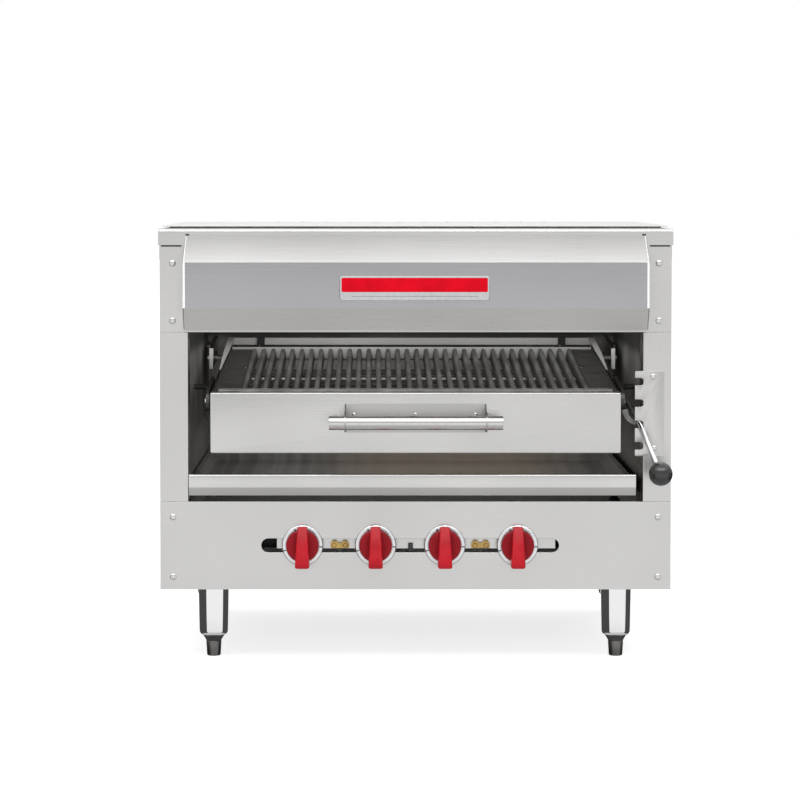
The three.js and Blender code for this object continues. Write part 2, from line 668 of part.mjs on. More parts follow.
function addDrawerFront() {
  const { halfWidth, z0, z1, depth } = DRAWER_FRONT;
  const outer = block([-halfWidth, halfWidth], [FRONT, FRONT + depth], [z0, z1]);
  const inner = block(
    [-halfWidth + SHEET, halfWidth - SHEET],
    [FRONT + SHEET, FRONT + depth + 1],
    [z0 + SHEET, z1 - SHEET],
  );
  addPiece("drawer_front", cut(outer, inner), "stainless");
  const { bracketHalf: half, plateZ, earZ, earThickness } = HANDLE;
  const plate = block([-half, half], [FRONT - SHEET, FRONT], plateZ);
  const ears = SIDES.map(({ sign }) => {
    return block(mirroredPair([half - earThickness, half], sign), [HANDLE.y, FRONT], earZ);
  });
  const seat = cylinderX(HANDLE.radius + GAP, -half - 5, half + 5, [HANDLE.y, HANDLE.z], 24);
  addPiece("handle_bracket", cut(join(plate, ...ears), seat), "stainless");
  const tube = cylinderX(HANDLE.radius, -HANDLE.halfLength, HANDLE.halfLength, [HANDLE.y, HANDLE.z], 24);
  addPiece("handle_tube", tube, "stainless");
}

// -- legs and feet

function addLegs() {
  const legProfile = [
    [0, LEG.boreTop],
    [LEG.bore, LEG.boreTop],
    [LEG.bore, LEG.bottom],
    [COLLAR.radius - 1, LEG.bottom],
    [COLLAR.radius, LEG.bottom + 1],
    [COLLAR.radius, COLLAR.top],
    [COLLAR.chamferRadius, COLLAR.chamferTop],
    [LEG.lowRadius, LEG.lowZ],
    [LEG.topRadius, BASE_Z],
    [0, BASE_Z],
  ];
  const footProfile = [
    [0, 0],
    [FOOT.lowRadius, 0],
    [FOOT.topRadius, FOOT.top],
    [FOOT.studRadius, FOOT.top],
    [FOOT.studRadius, FOOT.studTop],
    [0, FOOT.studTop],
  ];
  for (const row of ["front", "rear"]) {
    for (const { name, sign } of SIDES) {
      const leg = addPiece("leg_" + row + "_" + name, turned(legProfile, 24), "chrome");
      const foot = addPiece("foot_" + row + "_" + name, turned(footProfile, 20), "darkSteel");
      for (const piece of [leg, foot]) {
        piece.position.set(sign * LEG_X[row], LEG_Y[row], 0);
      }
    }
  }
}

addCabinetShell();
addPosts();
addUpperFrontPanel();
addControlPanel();
addHood();
addLiners();
addBurners();
addGasTrain();
addKnobs();
addDripTray();
addTrayRails();
addNotchPlate();
addArms();
addLever();
addCarriage();
addDrawer();
addDrawerFront();
addLegs();

export default broiler;
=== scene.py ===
"""Looks of an over-fired counter broiler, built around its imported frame.

Metres, Z up, the front towards -Y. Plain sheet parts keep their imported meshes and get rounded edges
and procedural finishes. The hood, the top sheet, the badge, the drawer's face, the knobs, legs, grate,
tray, handle, lever and small fittings are finer pieces in their place.
"""

import math

import bmesh
import bpy
from mathutils import Matrix, Vector


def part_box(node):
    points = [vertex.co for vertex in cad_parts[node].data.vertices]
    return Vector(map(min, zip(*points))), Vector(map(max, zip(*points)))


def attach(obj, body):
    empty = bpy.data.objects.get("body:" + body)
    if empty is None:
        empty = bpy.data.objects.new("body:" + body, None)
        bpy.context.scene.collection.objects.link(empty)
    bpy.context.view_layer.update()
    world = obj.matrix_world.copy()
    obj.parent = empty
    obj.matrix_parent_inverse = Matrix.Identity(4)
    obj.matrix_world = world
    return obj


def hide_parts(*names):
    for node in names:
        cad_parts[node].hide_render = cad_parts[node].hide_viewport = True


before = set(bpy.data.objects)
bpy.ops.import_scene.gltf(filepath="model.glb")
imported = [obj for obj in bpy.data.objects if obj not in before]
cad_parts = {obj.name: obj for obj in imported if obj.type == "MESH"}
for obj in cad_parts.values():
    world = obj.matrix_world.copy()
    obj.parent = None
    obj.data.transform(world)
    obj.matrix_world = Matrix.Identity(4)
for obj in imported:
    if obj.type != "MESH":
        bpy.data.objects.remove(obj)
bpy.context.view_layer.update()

scene = bpy.context.scene

# ---- driving sizes, from the frame

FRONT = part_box("control_panel")[0].y  # outer face of the cabinet's front
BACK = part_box("back_panel")[1].y
BODY_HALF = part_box("control_panel")[1].x
TILT = math.radians(5.1)  # slope of grate, drawer and carriage, up to the rear
SHEET = 0.0015  # thickness

# the sloping frame of the grate: X across, Y along it, Z square to it
SLOPE_ORIGIN = Vector((0.0, -0.28, 0.4883))
SLOPE = Matrix.Translation(SLOPE_ORIGIN) @ Matrix.Rotation(TILT, 4, "X")


# ---- outlines

def arc(centre, radius, start, stop, steps=6):
    """Points on an arc about centre, from one angle in degrees to another."""
    points = []
    for i in range(steps + 1):
        angle = math.radians(start + (stop - start) * i / steps)
        points.append((centre[0] + radius * math.cos(angle), centre[1] + radius * math.sin(angle)))
    return points


def rounded_rectangle(a0, a1, b0, b1, radius, steps=6):
    """A closed outline from (a0, b0) to (a1, b1) with round corners."""
    corners = [(a1, b0, -90), (a1, b1, 0), (a0, b1, 90), (a0, b0, 180)]
    points = []
    for a, b, start in corners:
        centre = (a - math.copysign(radius, a - a0 - 1e-9), b - math.copysign(radius, b - b0 - 1e-9))
        points += arc(centre, radius, start, start + 90, steps)
    return points


def middle_of(node):
    """The middle of a CAD node's box."""
    low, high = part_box(node)
    return (low + high) / 2


def mirrored(pair, side):
    """A span across the object, as given on the right, or mirrored to the left."""
    low, high = pair
    return (low, high) if side > 0 else (-high, -low)


# ---- mesh builders

def join_rings(bm, rings, mat=0, closed=True):
    """Faces between rings of vertices with the same count."""
    for first, second in zip(rings, rings[1:]):
        count = len(first)
        for i in range(count if closed else count - 1):
            j = (i + 1) % count
            face = bm.faces.new((first[i], first[j], second[j], second[i]))
            face.material_index = mat


def cap(bm, ring, mat=0):
    bm.faces.new(ring).material_index = mat


def loft(bm, rings, mat=0):
    """A closed solid through rings of vertices. Returns all of them."""
    join_rings(bm, rings, mat)
    cap(bm, rings[0], mat)
    cap(bm, rings[-1], mat)
    return [vert for ring in rings for vert in ring]


def prism(bm, axis, outline, start, stop, mat=0):
    """An outline drawn square to an axis and extruded along it."""
    corner = {
        "x": lambda a, b, t: (t, a, b),
        "y": lambda a, b, t: (a, t, b),
        "z": lambda a, b, t: (a, b, t),
    }[axis]
    rings = [[bm.verts.new(corner(a, b, t)) for a, b in outline] for t in (start, stop)]
    return loft(bm, rings, mat)


def block(bm, xs, ys, zs, mat=0):
    """A rectangular bar or strip between two corners."""
    outline = [(ys[0], zs[0]), (ys[1], zs[0]), (ys[1], zs[1]), (ys[0], zs[1])]
    return prism(bm, "x", outline, xs[0], xs[1], mat)


def slab(bm, xs, ys, zs, mat=0):
    """A block drawn in the grate's frame."""
    move(block(bm, xs, ys, zs, mat), SLOPE)


def pierced_sheet(bm, xs, ys, zs, openings, mat=0):
    """A flat sheet on a grid of lines, left open at the given (column, row) cells."""
    verts = {}

    def vert(*key):
        if key not in verts:
            verts[key] = bm.verts.new((xs[key[0]], ys[key[1]], zs[key[2]]))
        return verts[key]

    cells = {(i, j) for i in range(len(xs) - 1) for j in range(len(ys) - 1)} - set(openings)
    beyond = ((0, -1), (1, 0), (0, 1), (-1, 0))
    for i, j in cells:
        corners = ((i, j), (i + 1, j), (i + 1, j + 1), (i, j + 1))
        for level in (0, 1):
            bm.faces.new([vert(a, b, level) for a, b in corners]).material_index = mat
        for (a, b), (c, d), (across, along) in zip(corners, corners[1:] + corners[:1], beyond):
            if (i + across, j + along) not in cells:
                wall = (vert(a, b, 0), vert(c, d, 0), vert(c, d, 1), vert(a, b, 1))
                bm.faces.new(wall).material_index = mat


def lathe(bm, profile, centre, axis=(0, 0, 1), sides=64, mat=0):
    """Turns (radius, height) points about an axis. A radius of 0 closes the end."""
    turn = Vector((0, 0, 1)).rotation_difference(Vector(axis)).to_matrix().to_4x4()
    place = Matrix.Translation(centre) @ turn
    rings = []
    for radius, height in profile:
        if radius == 0:
            rings.append([bm.verts.new(place @ Vector((0, 0, height)))])
            continue
        ring = []
        for i in range(sides):
            angle = 2 * math.pi * i / sides
            spot = Vector((radius * math.cos(angle), radius * math.sin(angle), height))
            ring.append(bm.verts.new(place @ spot))
        rings.append(ring)
    for first, second in zip(rings, rings[1:]):
        if len(first) == len(second):
            join_rings(bm, [first, second], mat)
            continue
        tip, ring = (first[0], second) if len(first) == 1 else (second[0], first)
        for i in range(sides):
            bm.faces.new((tip, ring[i], ring[(i + 1) % sides])).material_index = mat
    return [v for ring in rings for v in ring]


def tube(bm, points, radius, sides=24, mat=0):
    """A round bar along a path."""
    path = [Vector(p) for p in points]
    rings = []
    side = None
    for i, point in enumerate(path):
        ahead = (path[min(i + 1, len(path) - 1)] - path[max(i - 1, 0)]).normalized()
        if side is None:
            side = ahead.orthogonal().normalized()
        side = (side - ahead * side.dot(ahead)).normalized()
        other = ahead.cross(side)
        ring = []
        for k in range(sides):
            angle = 2 * math.pi * k / sides
            out = math.cos(angle) * side + math.sin(angle) * other
            ring.append(bm.verts.new(point + radius * out))
        rings.append(ring)
    return loft(bm, rings, mat)


def move(verts, matrix):
    for vert in verts:
        vert.co = matrix @ vert.co


def sloping(verts):
    """Moves what was drawn in the grate's frame to where the grate slopes."""
    move(verts, SLOPE)


def evaluated(obj):
    """The object's mesh with its modifiers applied, as (points, faces)."""
    graph = bpy.context.evaluated_depsgraph_get()
    mesh = obj.evaluated_get(graph).to_mesh()
    points = [v.co.copy() for v in mesh.vertices]
    faces = [tuple(p.vertices) for p in mesh.polygons]
    obj.evaluated_get(graph).to_mesh_clear()
    return points, faces


def loose_object(name, bm):
    """An object in the scene with the mesh that has been drawn."""
    bmesh.ops.recalc_face_normals(bm, faces=bm.faces)
    mesh = bpy.data.meshes.new(name)
    bm.to_mesh(mesh)
    bm.free()
    obj = bpy.data.objects.new(name, mesh)
    scene.collection.objects.link(obj)
    return obj


def round_edges(obj, width, segments=2, angle=35):
    """Rounds the sharp edges, so that they catch the light as bent or filed metal does."""
    bevel = obj.modifiers.new("edges", "BEVEL")
    bevel.width = width
    bevel.segments = segments
    bevel.limit_method = "ANGLE"
    bevel.angle_limit = math.radians(angle)
    bevel.harden_normals = True
    bevel.use_clamp_overlap = True


def piece(name, bm, skins, body, slot, replaces=(), edge=0.0, sharp=35):
    """Makes a finished piece of the object, riding on a body of the frame.

    skins names its looks with spaces between them, in the order of the faces' material numbers.
    """
    obj = loose_object(name, bm)
    for look in skins.split():
        obj.data.materials.append(looks[look])
    for polygon in obj.data.polygons:
        polygon.use_smooth = True
    obj.data.set_sharp_from_angle(angle=math.radians(sharp))
    if edge:
        round_edges(obj, edge)
    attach(obj, body)
    if replaces:
        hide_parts(*replaces)
    return obj


# ---- finishes

class Nodes:
    """Short ways to build a shader's nodes."""

    def __init__(self, tree):
        self.tree = tree

    def feed(self, socket, value):
        if isinstance(value, bpy.types.NodeSocket):
            self.tree.links.new(value, socket)
        else:
            socket.default_value = value

    def node(self, kind, **inputs):
        made = self.tree.nodes.new(kind)
        for socket, value in inputs.items():
            self.feed(made.inputs[socket.replace("_", " ")], value)
        return made

    def remap(self, value, low, high, to_low=0.0, to_high=1.0, shape="LINEAR"):
        span = {"From_Min": low, "From_Max": high, "To_Min": to_low, "To_Max": to_high}
        made = self.node("ShaderNodeMapRange", Value=value, **span)
        made.interpolation_type = shape
        return made.outputs["Result"]

    def math(self, operation, *values):
        made = self.tree.nodes.new("ShaderNodeMath")
        made.operation = operation
        for socket, value in zip(made.inputs, values):
            self.feed(socket, value)
        return made.outputs["Value"]

    def product(self, *values):
        result = values[0]
        for value in values[1:]:
            result = self.math("MULTIPLY", result, value)
        return result


class Finish(Nodes):
    """A material around one Principled shader, with short ways to add procedural detail."""

    def __init__(self, name, colour, roughness, metallic=0.0):
        self.material = bpy.data.materials.new(name)
        self.material.use_nodes = True
        super().__init__(self.material.node_tree)
        self.shader = self.tree.nodes["Principled BSDF"]
        self.set("Base Color", (*colour, 1.0))
        self.set("Roughness", roughness)
        self.set("Metallic", metallic)
        self.where = self.node("ShaderNodeTexCoord").outputs["Object"]

    def set(self, socket, value):
        self.shader.inputs[socket].default_value = value

    def noise(self, scale, detail=3.0, stretch=(1, 1, 1)):
        where = self.node("ShaderNodeMapping", Vector=self.where, Scale=stretch).outputs["Vector"]
        return self.node("ShaderNodeTexNoise", Vector=where, Scale=scale, Detail=detail).outputs["Fac"]

    def mix(self, factor, first, second, blend="MIX"):
        made = self.tree.nodes.new("ShaderNodeMix")
        made.data_type = "RGBA"
        made.blend_type = blend
        self.feed(made.inputs["Factor"], factor)
        self.feed(made.inputs["A"], self.rgba(first))
        self.feed(made.inputs["B"], self.rgba(second))
        return made.outputs["Result"]

    def patches(self, value, low, high, first, second):
        """One colour where the value is low, and another where it is high."""
        return self.mix(self.remap(value, low, high), first, second)

    @staticmethod
    def rgba(value):
        return (*value, 1.0) if isinstance(value, tuple) and len(value) == 3 else value

    def across(self, axis):
        """How far along an axis the surface is, in metres."""
        return self.node("ShaderNodeSeparateXYZ", Vector=self.where).outputs[axis]

    def bump(self, height, strength, distance):
        made = self.node("ShaderNodeBump", Height=height, Strength=strength, Distance=distance)
        self.feed(self.shader.inputs["Normal"], made.outputs["Normal"])

    def paint(self, colour):
        self.feed(self.shader.inputs["Base Color"], colour)

    def gloss(self, roughness):
        self.feed(self.shader.inputs["Roughness"], roughness)


# a noise stretched along an axis, for the grain of brushed sheet
GRAIN = {"x": (0.12, 9, 9), "y": (9, 0.12, 9), "z": (9, 9, 0.12)}


def scaled(colour, factor):
    return tuple(min(1.0, c * factor) for c in colour)


def stainless(name, colour, roughness=0.3, grain="x", streak=0.035, smudge=0.03, metallic=1.0):
    """Brushed sheet: long fine streaks, and soft patches where hands and heat have dulled it.

    A lower metallic value makes a duller sheet, which scatters light and looks pale from any side.
    """
    finish = Finish(name, colour, roughness, metallic)
    fine = finish.noise(85.0, 4.0, GRAIN[grain])
    soft = finish.noise(4.0, 2.0)
    streaked = finish.patches(fine, 0.3, 0.7, scaled(colour, 1 - streak), scaled(colour, 1 + streak))
    shade = finish.remap(soft, 0.35, 0.65, 1 - smudge, 1 + smudge)
    grey = finish.node("ShaderNodeCombineXYZ", X=shade, Y=shade, Z=shade).outputs["Vector"]
    finish.paint(finish.mix(1.0, streaked, grey, "MULTIPLY"))
    finish.gloss(finish.remap(fine, 0.3, 0.7, roughness - 0.04, roughness + 0.05))
    finish.bump(fine, 0.05, 0.0004)
    return finish


def hood_painted_shading(colour):
    """The hood's brushed sheet, with painted light and shade set by height: a painted gradient from
    darker to paler down its sloping top, painted shade on its upright face, and painted light on its
    undercut.
    """
    finish = stainless("hood_painted_shading", colour, 0.3)
    face = scaled(colour, 0.72)
    up = finish.across("Z")
    streaked = finish.shader.inputs["Base Color"].links[0].from_socket
    # painted light: the sloping top grades from darker at its top edge to paler at its bend
    top = finish.remap(up, 0.76, 0.718, 0.0, 1.0)
    painted_shading_tone = finish.mix(top, (0.63, 0.63, 0.622), (0.89, 0.89, 0.89))
    below_bend = finish.remap(up, 0.7184, 0.7176)
    below_knee = finish.remap(up, 0.6364, 0.6356)
    # painted shade: the upright face, between the bend and the knee, is darker
    upright_painted_shade = (face[0] / colour[0] * 0.98, face[1] / colour[1] * 0.99, face[2] / colour[2] * 1.03)
    painted_shading_tone = finish.mix(below_bend, painted_shading_tone, upright_painted_shade)
    # painted light: the undercut below the knee is made paler
    painted_shading_tone = finish.mix(below_knee, painted_shading_tone, (1.18, 1.165, 1.15))
    finish.paint(finish.mix(1.0, streaked, painted_shading_tone, "MULTIPLY"))
    return finish


def liner_soot_and_shade():
    """Liner sheet, dulled by heat, with smoky patches, and with painted shade and light set by height:
    darker above about 0.55 m, in the hood's shadow, and paler below about 0.4 m.
    """
    finish = Finish("liner_soot_and_painted_shade", (0.06, 0.06, 0.058), 0.5, metallic=0.6)
    soft = finish.noise(5.0, 4.0, (1, 1, 0.5))
    fine = finish.noise(60.0, 3.0, (6, 6, 0.4))
    soot_and_shade = finish.patches(soft, 0.42, 0.62, (0.13, 0.128, 0.122), (0.3, 0.295, 0.285))
    soot_and_shade = finish.mix(finish.remap(fine, 0.35, 0.65, 0.0, 0.35), soot_and_shade, (0.2, 0.196, 0.19))
    up = finish.across("Z")
    # painted shade: darker above about 0.55 m, in the shadow under the hood
    soot_and_shade = finish.patches(up, 0.54, 0.556, soot_and_shade, (0.045, 0.0445, 0.043))
    # painted light: paler below about 0.4 m, low in the chamber
    finish.paint(finish.patches(up, 0.47, 0.4, soot_and_shade, (0.33, 0.325, 0.31)))
    finish.gloss(finish.remap(soft, 0.4, 0.6, 0.52, 0.34))
    finish.bump(fine, 0.08, 0.0005)
    return finish


def burner_sheet():
    """Aluminised sheet with a pale ceramic plaque, pierced with small ports, underneath."""
    finish = Finish("burner_sheet", (0.42, 0.4, 0.37), 0.5, metallic=0.6)
    up = finish.across("Z")
    plaque = finish.remap(up, 0.6521, 0.6519)
    holes = finish.node("ShaderNodeTexVoronoi", Vector=finish.where, Scale=230.0).outputs["Distance"]
    port = finish.remap(holes, 0.22, 0.3)
    ceramic = finish.mix(port, (0.1, 0.07, 0.05), (0.62, 0.5, 0.38))
    soft = finish.noise(9.0, 3.0)
    sheet = finish.patches(soft, 0.4, 0.6, (0.3, 0.28, 0.26), (0.48, 0.46, 0.43))
    finish.paint(finish.mix(plaque, sheet, ceramic))
    finish.feed(finish.shader.inputs["Metallic"], finish.remap(plaque, 0.0, 1.0, 0.6, 0.0))
    finish.bump(finish.math("MULTIPLY", port, plaque), 0.3, 0.001)
    return finish


def cast_iron():
    """Seasoned iron: a fine sandy skin with a dull oily sheen."""
    finish = Finish("cast_iron", (0.07, 0.069, 0.066), 0.55, metallic=0.35)
    grit = finish.noise(650.0, 3.0)
    patch = finish.noise(14.0, 3.0)
    finish.paint(finish.patches(patch, 0.38, 0.62, (0.07, 0.069, 0.0665), (0.126, 0.1245, 0.12)))
    finish.gloss(finish.remap(patch, 0.35, 0.65, 0.46, 0.66))
    finish.bump(grit, 0.25, 0.0006)
    return finish


def moulded(name, colour, roughness, gloss=0.5):
    """Glossy phenolic, with faint moulding ripple and handling marks."""
    finish = Finish(name, colour, roughness)
    ripple = finish.noise(40.0, 2.0)
    marks = finish.noise(220.0, 3.0, (1, 1, 3))
    finish.paint(finish.patches(ripple, 0.35, 0.65, scaled(colour, 0.9), scaled(colour, 1.08)))
    finish.gloss(finish.remap(marks, 0.4, 0.7, roughness, roughness + 0.08))
    finish.bump(ripple, 0.04, 0.0005)
    finish.set("Specular IOR Level", gloss)
    return finish


def plated(name, colour, roughness, scale=30.0, haze=0.05, wave=0.03, metallic=1.0):
    """Bright plated metal, with the slight waviness of polishing."""
    finish = Finish(name, colour, roughness, metallic)
    ripple = finish.noise(scale, 2.0)
    film = finish.noise(160.0, 3.0)
    finish.paint(finish.patches(film, 0.4, 0.65, colour, scaled(colour, 1 - haze)))
    finish.gloss(finish.remap(film, 0.35, 0.65, roughness, roughness + haze))
    finish.bump(ripple, wave, 0.0008)
    return finish


def tray_inside():
    """The tray's floor: streaks along its length, painted light and shadow of the grate's bars above, and
    browner and paler towards the middle, browned by grease and lit by a painted pool of light.
    """
    finish = Finish("tray_inside", (0.3, 0.29, 0.27), 0.42, metallic=0.5)
    # painted light and shadow: streaks that stand in for the grate's bars over the floor
    streaks = finish.noise(1.0, 2.0, (62, 0.7, 5))
    sheet = finish.patches(streaks, 0.36, 0.62, (0.21, 0.206, 0.197), (0.31, 0.302, 0.285))
    # browner with grease, and paler with a painted pool of light, towards the middle
    off_centre = finish.math("ABSOLUTE", finish.math("SUBTRACT", finish.across("X"), 0.08))
    middle = finish.remap(off_centre, 0.29, 0.12)
    finish.paint(finish.mix(finish.math("MULTIPLY", middle, 0.8), sheet, (0.42, 0.35, 0.28)))
    return finish


def dull_metal(name, colour, roughness, metallic=0.9):
    """Plain dark steel or painted pipe, with blotches and a little grain."""
    finish = Finish(name, colour, roughness, metallic)
    blotch = finish.noise(35.0, 4.0)
    grain = finish.noise(400.0, 2.0)
    finish.paint(finish.patches(blotch, 0.35, 0.65, scaled(colour, 0.75), scaled(colour, 1.25)))
    finish.gloss(finish.remap(blotch, 0.3, 0.7, roughness - 0.08, roughness + 0.1))
    finish.bump(grain, 0.1, 0.0003)
    return finish


STEEL = (0.64, 0.634, 0.624)

looks = {
    "panel": stainless("panel_steel", STEEL, 0.3, "x"),
    "post": stainless("post_steel", STEEL, 0.3, "z"),
    "cap": stainless("cap_steel", scaled(STEEL, 0.97), 0.28, "x"),
    "side": stainless("side_steel", STEEL, 0.42, "z", metallic=0.5),
    "top": stainless("top_steel", STEEL, 0.42, "x", metallic=0.5),
    "hood": hood_painted_shading(STEEL),
    "drawer": stainless("drawer_front_steel", scaled(STEEL, 1.02), 0.28, "x", smudge=0.04),
    "mount": stainless("handle_mount_steel", scaled(STEEL, 0.84), 0.36),
    "tray": stainless("tray_steel", STEEL, 0.2, "y", streak=0.05, smudge=0.05),
    "back": stainless("back_steel", (0.6, 0.595, 0.585), 0.4, "z", metallic=0.75),
    # a pale, almost unmetallic copy of the steel that stays bright from every side: painted highlight on
    # the hood's rounded ends and the rear arms' flat ends
    "hood_end": stainless("end_highlight_steel", (0.66, 0.66, 0.65), 0.5, "z", metallic=0.1),
    "splash": stainless("splash_steel", (0.42, 0.415, 0.4), 0.5, "x", smudge=0.1, metallic=0.35),
    # dark grey steel for the frame under the top sheet: painted shade
    "seam": dull_metal("gap_shade_steel", (0.34, 0.34, 0.336), 0.6, 0.2),
    "strap": dull_metal("strap_steel", (0.21, 0.208, 0.202), 0.42, 0.8),
    "rod": plated("rod_steel", (0.8, 0.79, 0.77), 0.25, metallic=0.2),
    "tray_inside": tray_inside(),
    "side_plate": dull_metal("side_plate_steel", (0.06, 0.059, 0.056), 0.5, 0.5),
    "grate_rim": dull_metal("grate_rim_steel", (0.24, 0.237, 0.228), 0.42, 0.6),
    # a darker copy of the knob's red for its disc: painted shade
    "knob_disc": moulded("shaded_disc_red", (0.17, 0.002, 0.006), 0.3, 0.15),
    "carriage": stainless("carriage_steel", (0.5, 0.49, 0.475), 0.36, "x", smudge=0.12),
    "drawer_frame": dull_metal("drawer_frame_steel", (0.115, 0.113, 0.108), 0.5),
    "liner": liner_soot_and_shade(),
    "gap": dull_metal("shadow_gap", (0.02, 0.02, 0.02), 0.7, 0.2),
    "burner": burner_sheet(),
    "pipe": dull_metal("black_pipe", (0.03, 0.03, 0.03), 0.55, 0.4),
    "brass": dull_metal("brass", (0.56, 0.38, 0.13), 0.32, 1.0),
    "arm": dull_metal("arm_steel", (0.1, 0.1, 0.098), 0.5),
    "rear_arm": stainless("rear_arm_steel", (0.86, 0.855, 0.84), 0.35, "y"),
    "bezel": plated("bezel_silver", (0.83, 0.835, 0.85), 0.3),
    "mark": Finish("index_black", (0.04, 0.04, 0.045), 0.5),
    "knob": moulded("knob_red", (0.275, 0.0025, 0.008), 0.24, 0.2),
    "ball": moulded("ball_black", (0.016, 0.016, 0.0155), 0.16, 0.6),
    "chrome": plated("chrome", (0.84, 0.84, 0.85), 0.05, haze=0.015, wave=0.008),
    "handle": plated("handle_polish", (0.7, 0.695, 0.685), 0.14, 18.0),
    "iron": cast_iron(),
    "foot": dull_metal("foot_steel", (0.16, 0.155, 0.15), 0.35, 1.0),
    "screw": plated("screw_steel", (0.72, 0.715, 0.7), 0.16, 60.0),
    "badge_red": moulded("badge_red", (0.385, 0.0015, 0.008), 0.35, 0.03),
    "badge_silver": plated("badge_silver", (0.62, 0.625, 0.64), 0.22),
}
looks = {key: finish.material for key, finish in looks.items()}


# ---- CAD parts that stay

SIDES = (("left", -1), ("right", 1))
NUMBERS = (1, 2, 3, 4)  # of the burners and their controls
KEPT = {  # the CAD nodes that each look goes on
    "panel": ["upper_front_panel", "control_panel", "base_pan"],
    "post": ["left_post", "right_post", "notch_plate"],
    "cap": ["top_cap"],
    "side": ["left_side_panel", "right_side_panel"],
    "back": ["back_panel"],
    "carriage": ["carriage_frame"],
    "drawer_frame": ["drawer_frame", "tray_rail_left", "tray_rail_right"],
    "liner": ["left_liner", "right_liner", "rear_liner", "heat_baffle"],
    "burner": [f"burner_{number}" for number in NUMBERS],
    "pipe": ["gas_manifold", "gas_inlet_pipe"],
    "brass": [f"gas_valve_{number}" for number in NUMBERS],
    "arm": ["front_arm_left", "front_arm_right"],
    "rear_arm": ["rear_arm_left", "rear_arm_right"],
}
EDGE_WIDTH = {"cap": 0.0006, "panel": 0.0005, "arm": 0.0008, "rear_arm": 0.0008}


def clean_edges(obj, width):
    """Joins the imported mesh's split corners and flat triangles, then rounds its edges."""
    weld = obj.modifiers.new("weld", "WELD")
    weld.merge_threshold = 0.00001
    flatten = obj.modifiers.new("flatten", "DECIMATE")
    flatten.decimate_type = "DISSOLVE"
    flatten.angle_limit = math.radians(1.0)
    round_edges(obj, width)


def finish_kept_parts():
    for look, names in KEPT.items():
        for name in names:
            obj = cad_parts[name]
            obj.data.materials.clear()
            obj.data.materials.append(looks[look])
            clean_edges(obj, EDGE_WIDTH.get(look, 0.0004))


# ---- screws

def screw_head(radius, height):
    """A domed head with a cross recess, its axis along +Z, as (points, faces)."""
    dome = bmesh.new()
    profile = [(0, height)]
    for angle in (20, 40, 58, 74):
        turn = math.radians(angle)
        profile.append((radius * math.sin(turn), height * math.cos(turn) ** 0.6))
    profile += [(radius, height * 0.22), (radius, -height * 0.3), (0, -height * 0.3)]
    lathe(dome, profile, (0, 0, 0), sides=32)
    head = loose_object("screw_head", dome)
    cross = bmesh.new()
    reach = radius * 0.5
    slot = radius * 0.13
    block(cross, (-reach, reach), (-slot, slot), (height * 0.35, height * 2))
    block(cross, (-slot, slot), (-reach, reach), (height * 0.352, height * 2.01))
    cutter = loose_object("screw_cross", cross)
    cut = head.modifiers.new("cross", "BOOLEAN")
    cut.object = cutter
    cut.operation = "DIFFERENCE"
    cut.use_self = True
    shape = evaluated(head)
    bpy.data.objects.remove(head)
    bpy.data.objects.remove(cutter)
    return shape


def add_shape(bm, shape, matrix):
    """Adds a copy of a shape, given as (points, faces)."""
    points, faces = shape
    verts = [bm.verts.new(matrix @ p) for p in points]
    for face in faces:
        bm.faces.new([verts[i] for i in face])


def facing(direction, place, turn=0.0):
    """A matrix that puts a +Z shape at a place, facing a direction."""
    aim = Vector((0, 0, 1)).rotation_difference(Vector(direction)).to_matrix().to_4x4()
    return Matrix.Translation(place) @ aim @ Matrix.Rotation(turn, 4, "Z")


def add_screws(name, spots, direction, radius, height, body, slot):
    """Screws at the given spots, each turned a little further than the last."""
    bm = bmesh.new()
    shape = screw_head(radius, height)
    for i, spot in enumerate(spots):
        add_shape(bm, shape, facing(direction, spot, math.radians(25 + 47 * i)))
    piece(name, bm, "screw", body, slot)


def add_cabinet_screws():
    fixed = ("cabinet", "stainless_cabinet")
    column = BODY_HALF - 0.023
    heights = (0.7146, 0.6125, 0.2622, 0.1553)
    front = [(side * column, FRONT, z) for _, side in SIDES for z in heights]
    add_screws("front_screws", front, (0, -1, 0), 0.0058, 0.003, *fixed)
    plate_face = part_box("notch_plate")[0].y
    plate = [(0.422, plate_face, 0.513), (0.424, plate_face, 0.385)]
    add_screws("notch_plate_screws", plate, (0, -1, 0), 0.0052, 0.0028, *fixed)
    for name, side in SIDES:
        rows = [(y, z) for y in (FRONT + 0.03, BACK - 0.03) for z in (0.17, 0.45, 0.725)]
        spots = [(side * BODY_HALF, y, z) for y, z in rows]
        add_screws(f"{name}_side_screws", spots, (side, 0, 0), 0.0048, 0.002, *fixed)
    rear = [(x, BACK, z) for x in (-0.43, -0.215, 0.0, 0.215, 0.43) for z in (0.155, 0.755)]
    rear += [(side * 0.43, BACK, 0.455) for _, side in SIDES]
    add_screws("back_screws", rear, (0, 1, 0), 0.0048, 0.0026, *fixed)


# ---- hood

# the hood's profile as (y, z): its top edge, slope, upright face, undercut and lower edge
HOOD_PATH = [(-0.304, 0.7636), (-0.3062, 0.7636), (-0.355, 0.718), (-0.355, 0.636), (-0.33, 0.597)]
HOOD_BENDS = (0.0012, 0.0012, 0.003)  # radii at its three corners
HOOD_END = 0.0042  # radius where the hood's face turns into its ends
FLUE_SLOTS = 12


def bent_path(points, radii, steps=4):
    """A path with its corners rounded, as (place, outward normal) pairs in (y, z)."""
    path = [Vector(p) for p in points]
    normals = []
    for first, second in zip(path, path[1:]):
        ahead = (second - first).normalized()
        normals.append(Vector((ahead.y, -ahead.x)))
    stations = [(path[0], normals[0])]
    for corner, radius, before, after in zip(path[1:], radii, normals, normals[1:]):
        bisector = (before + after).normalized()
        centre = corner - bisector * (radius / bisector.dot(before))
        for i in range(steps + 1):
            normal = before.lerp(after, i / steps).normalized()
            stations.append((centre + normal * radius, normal))
    stations.append((path[-1], normals[-1]))
    return stations


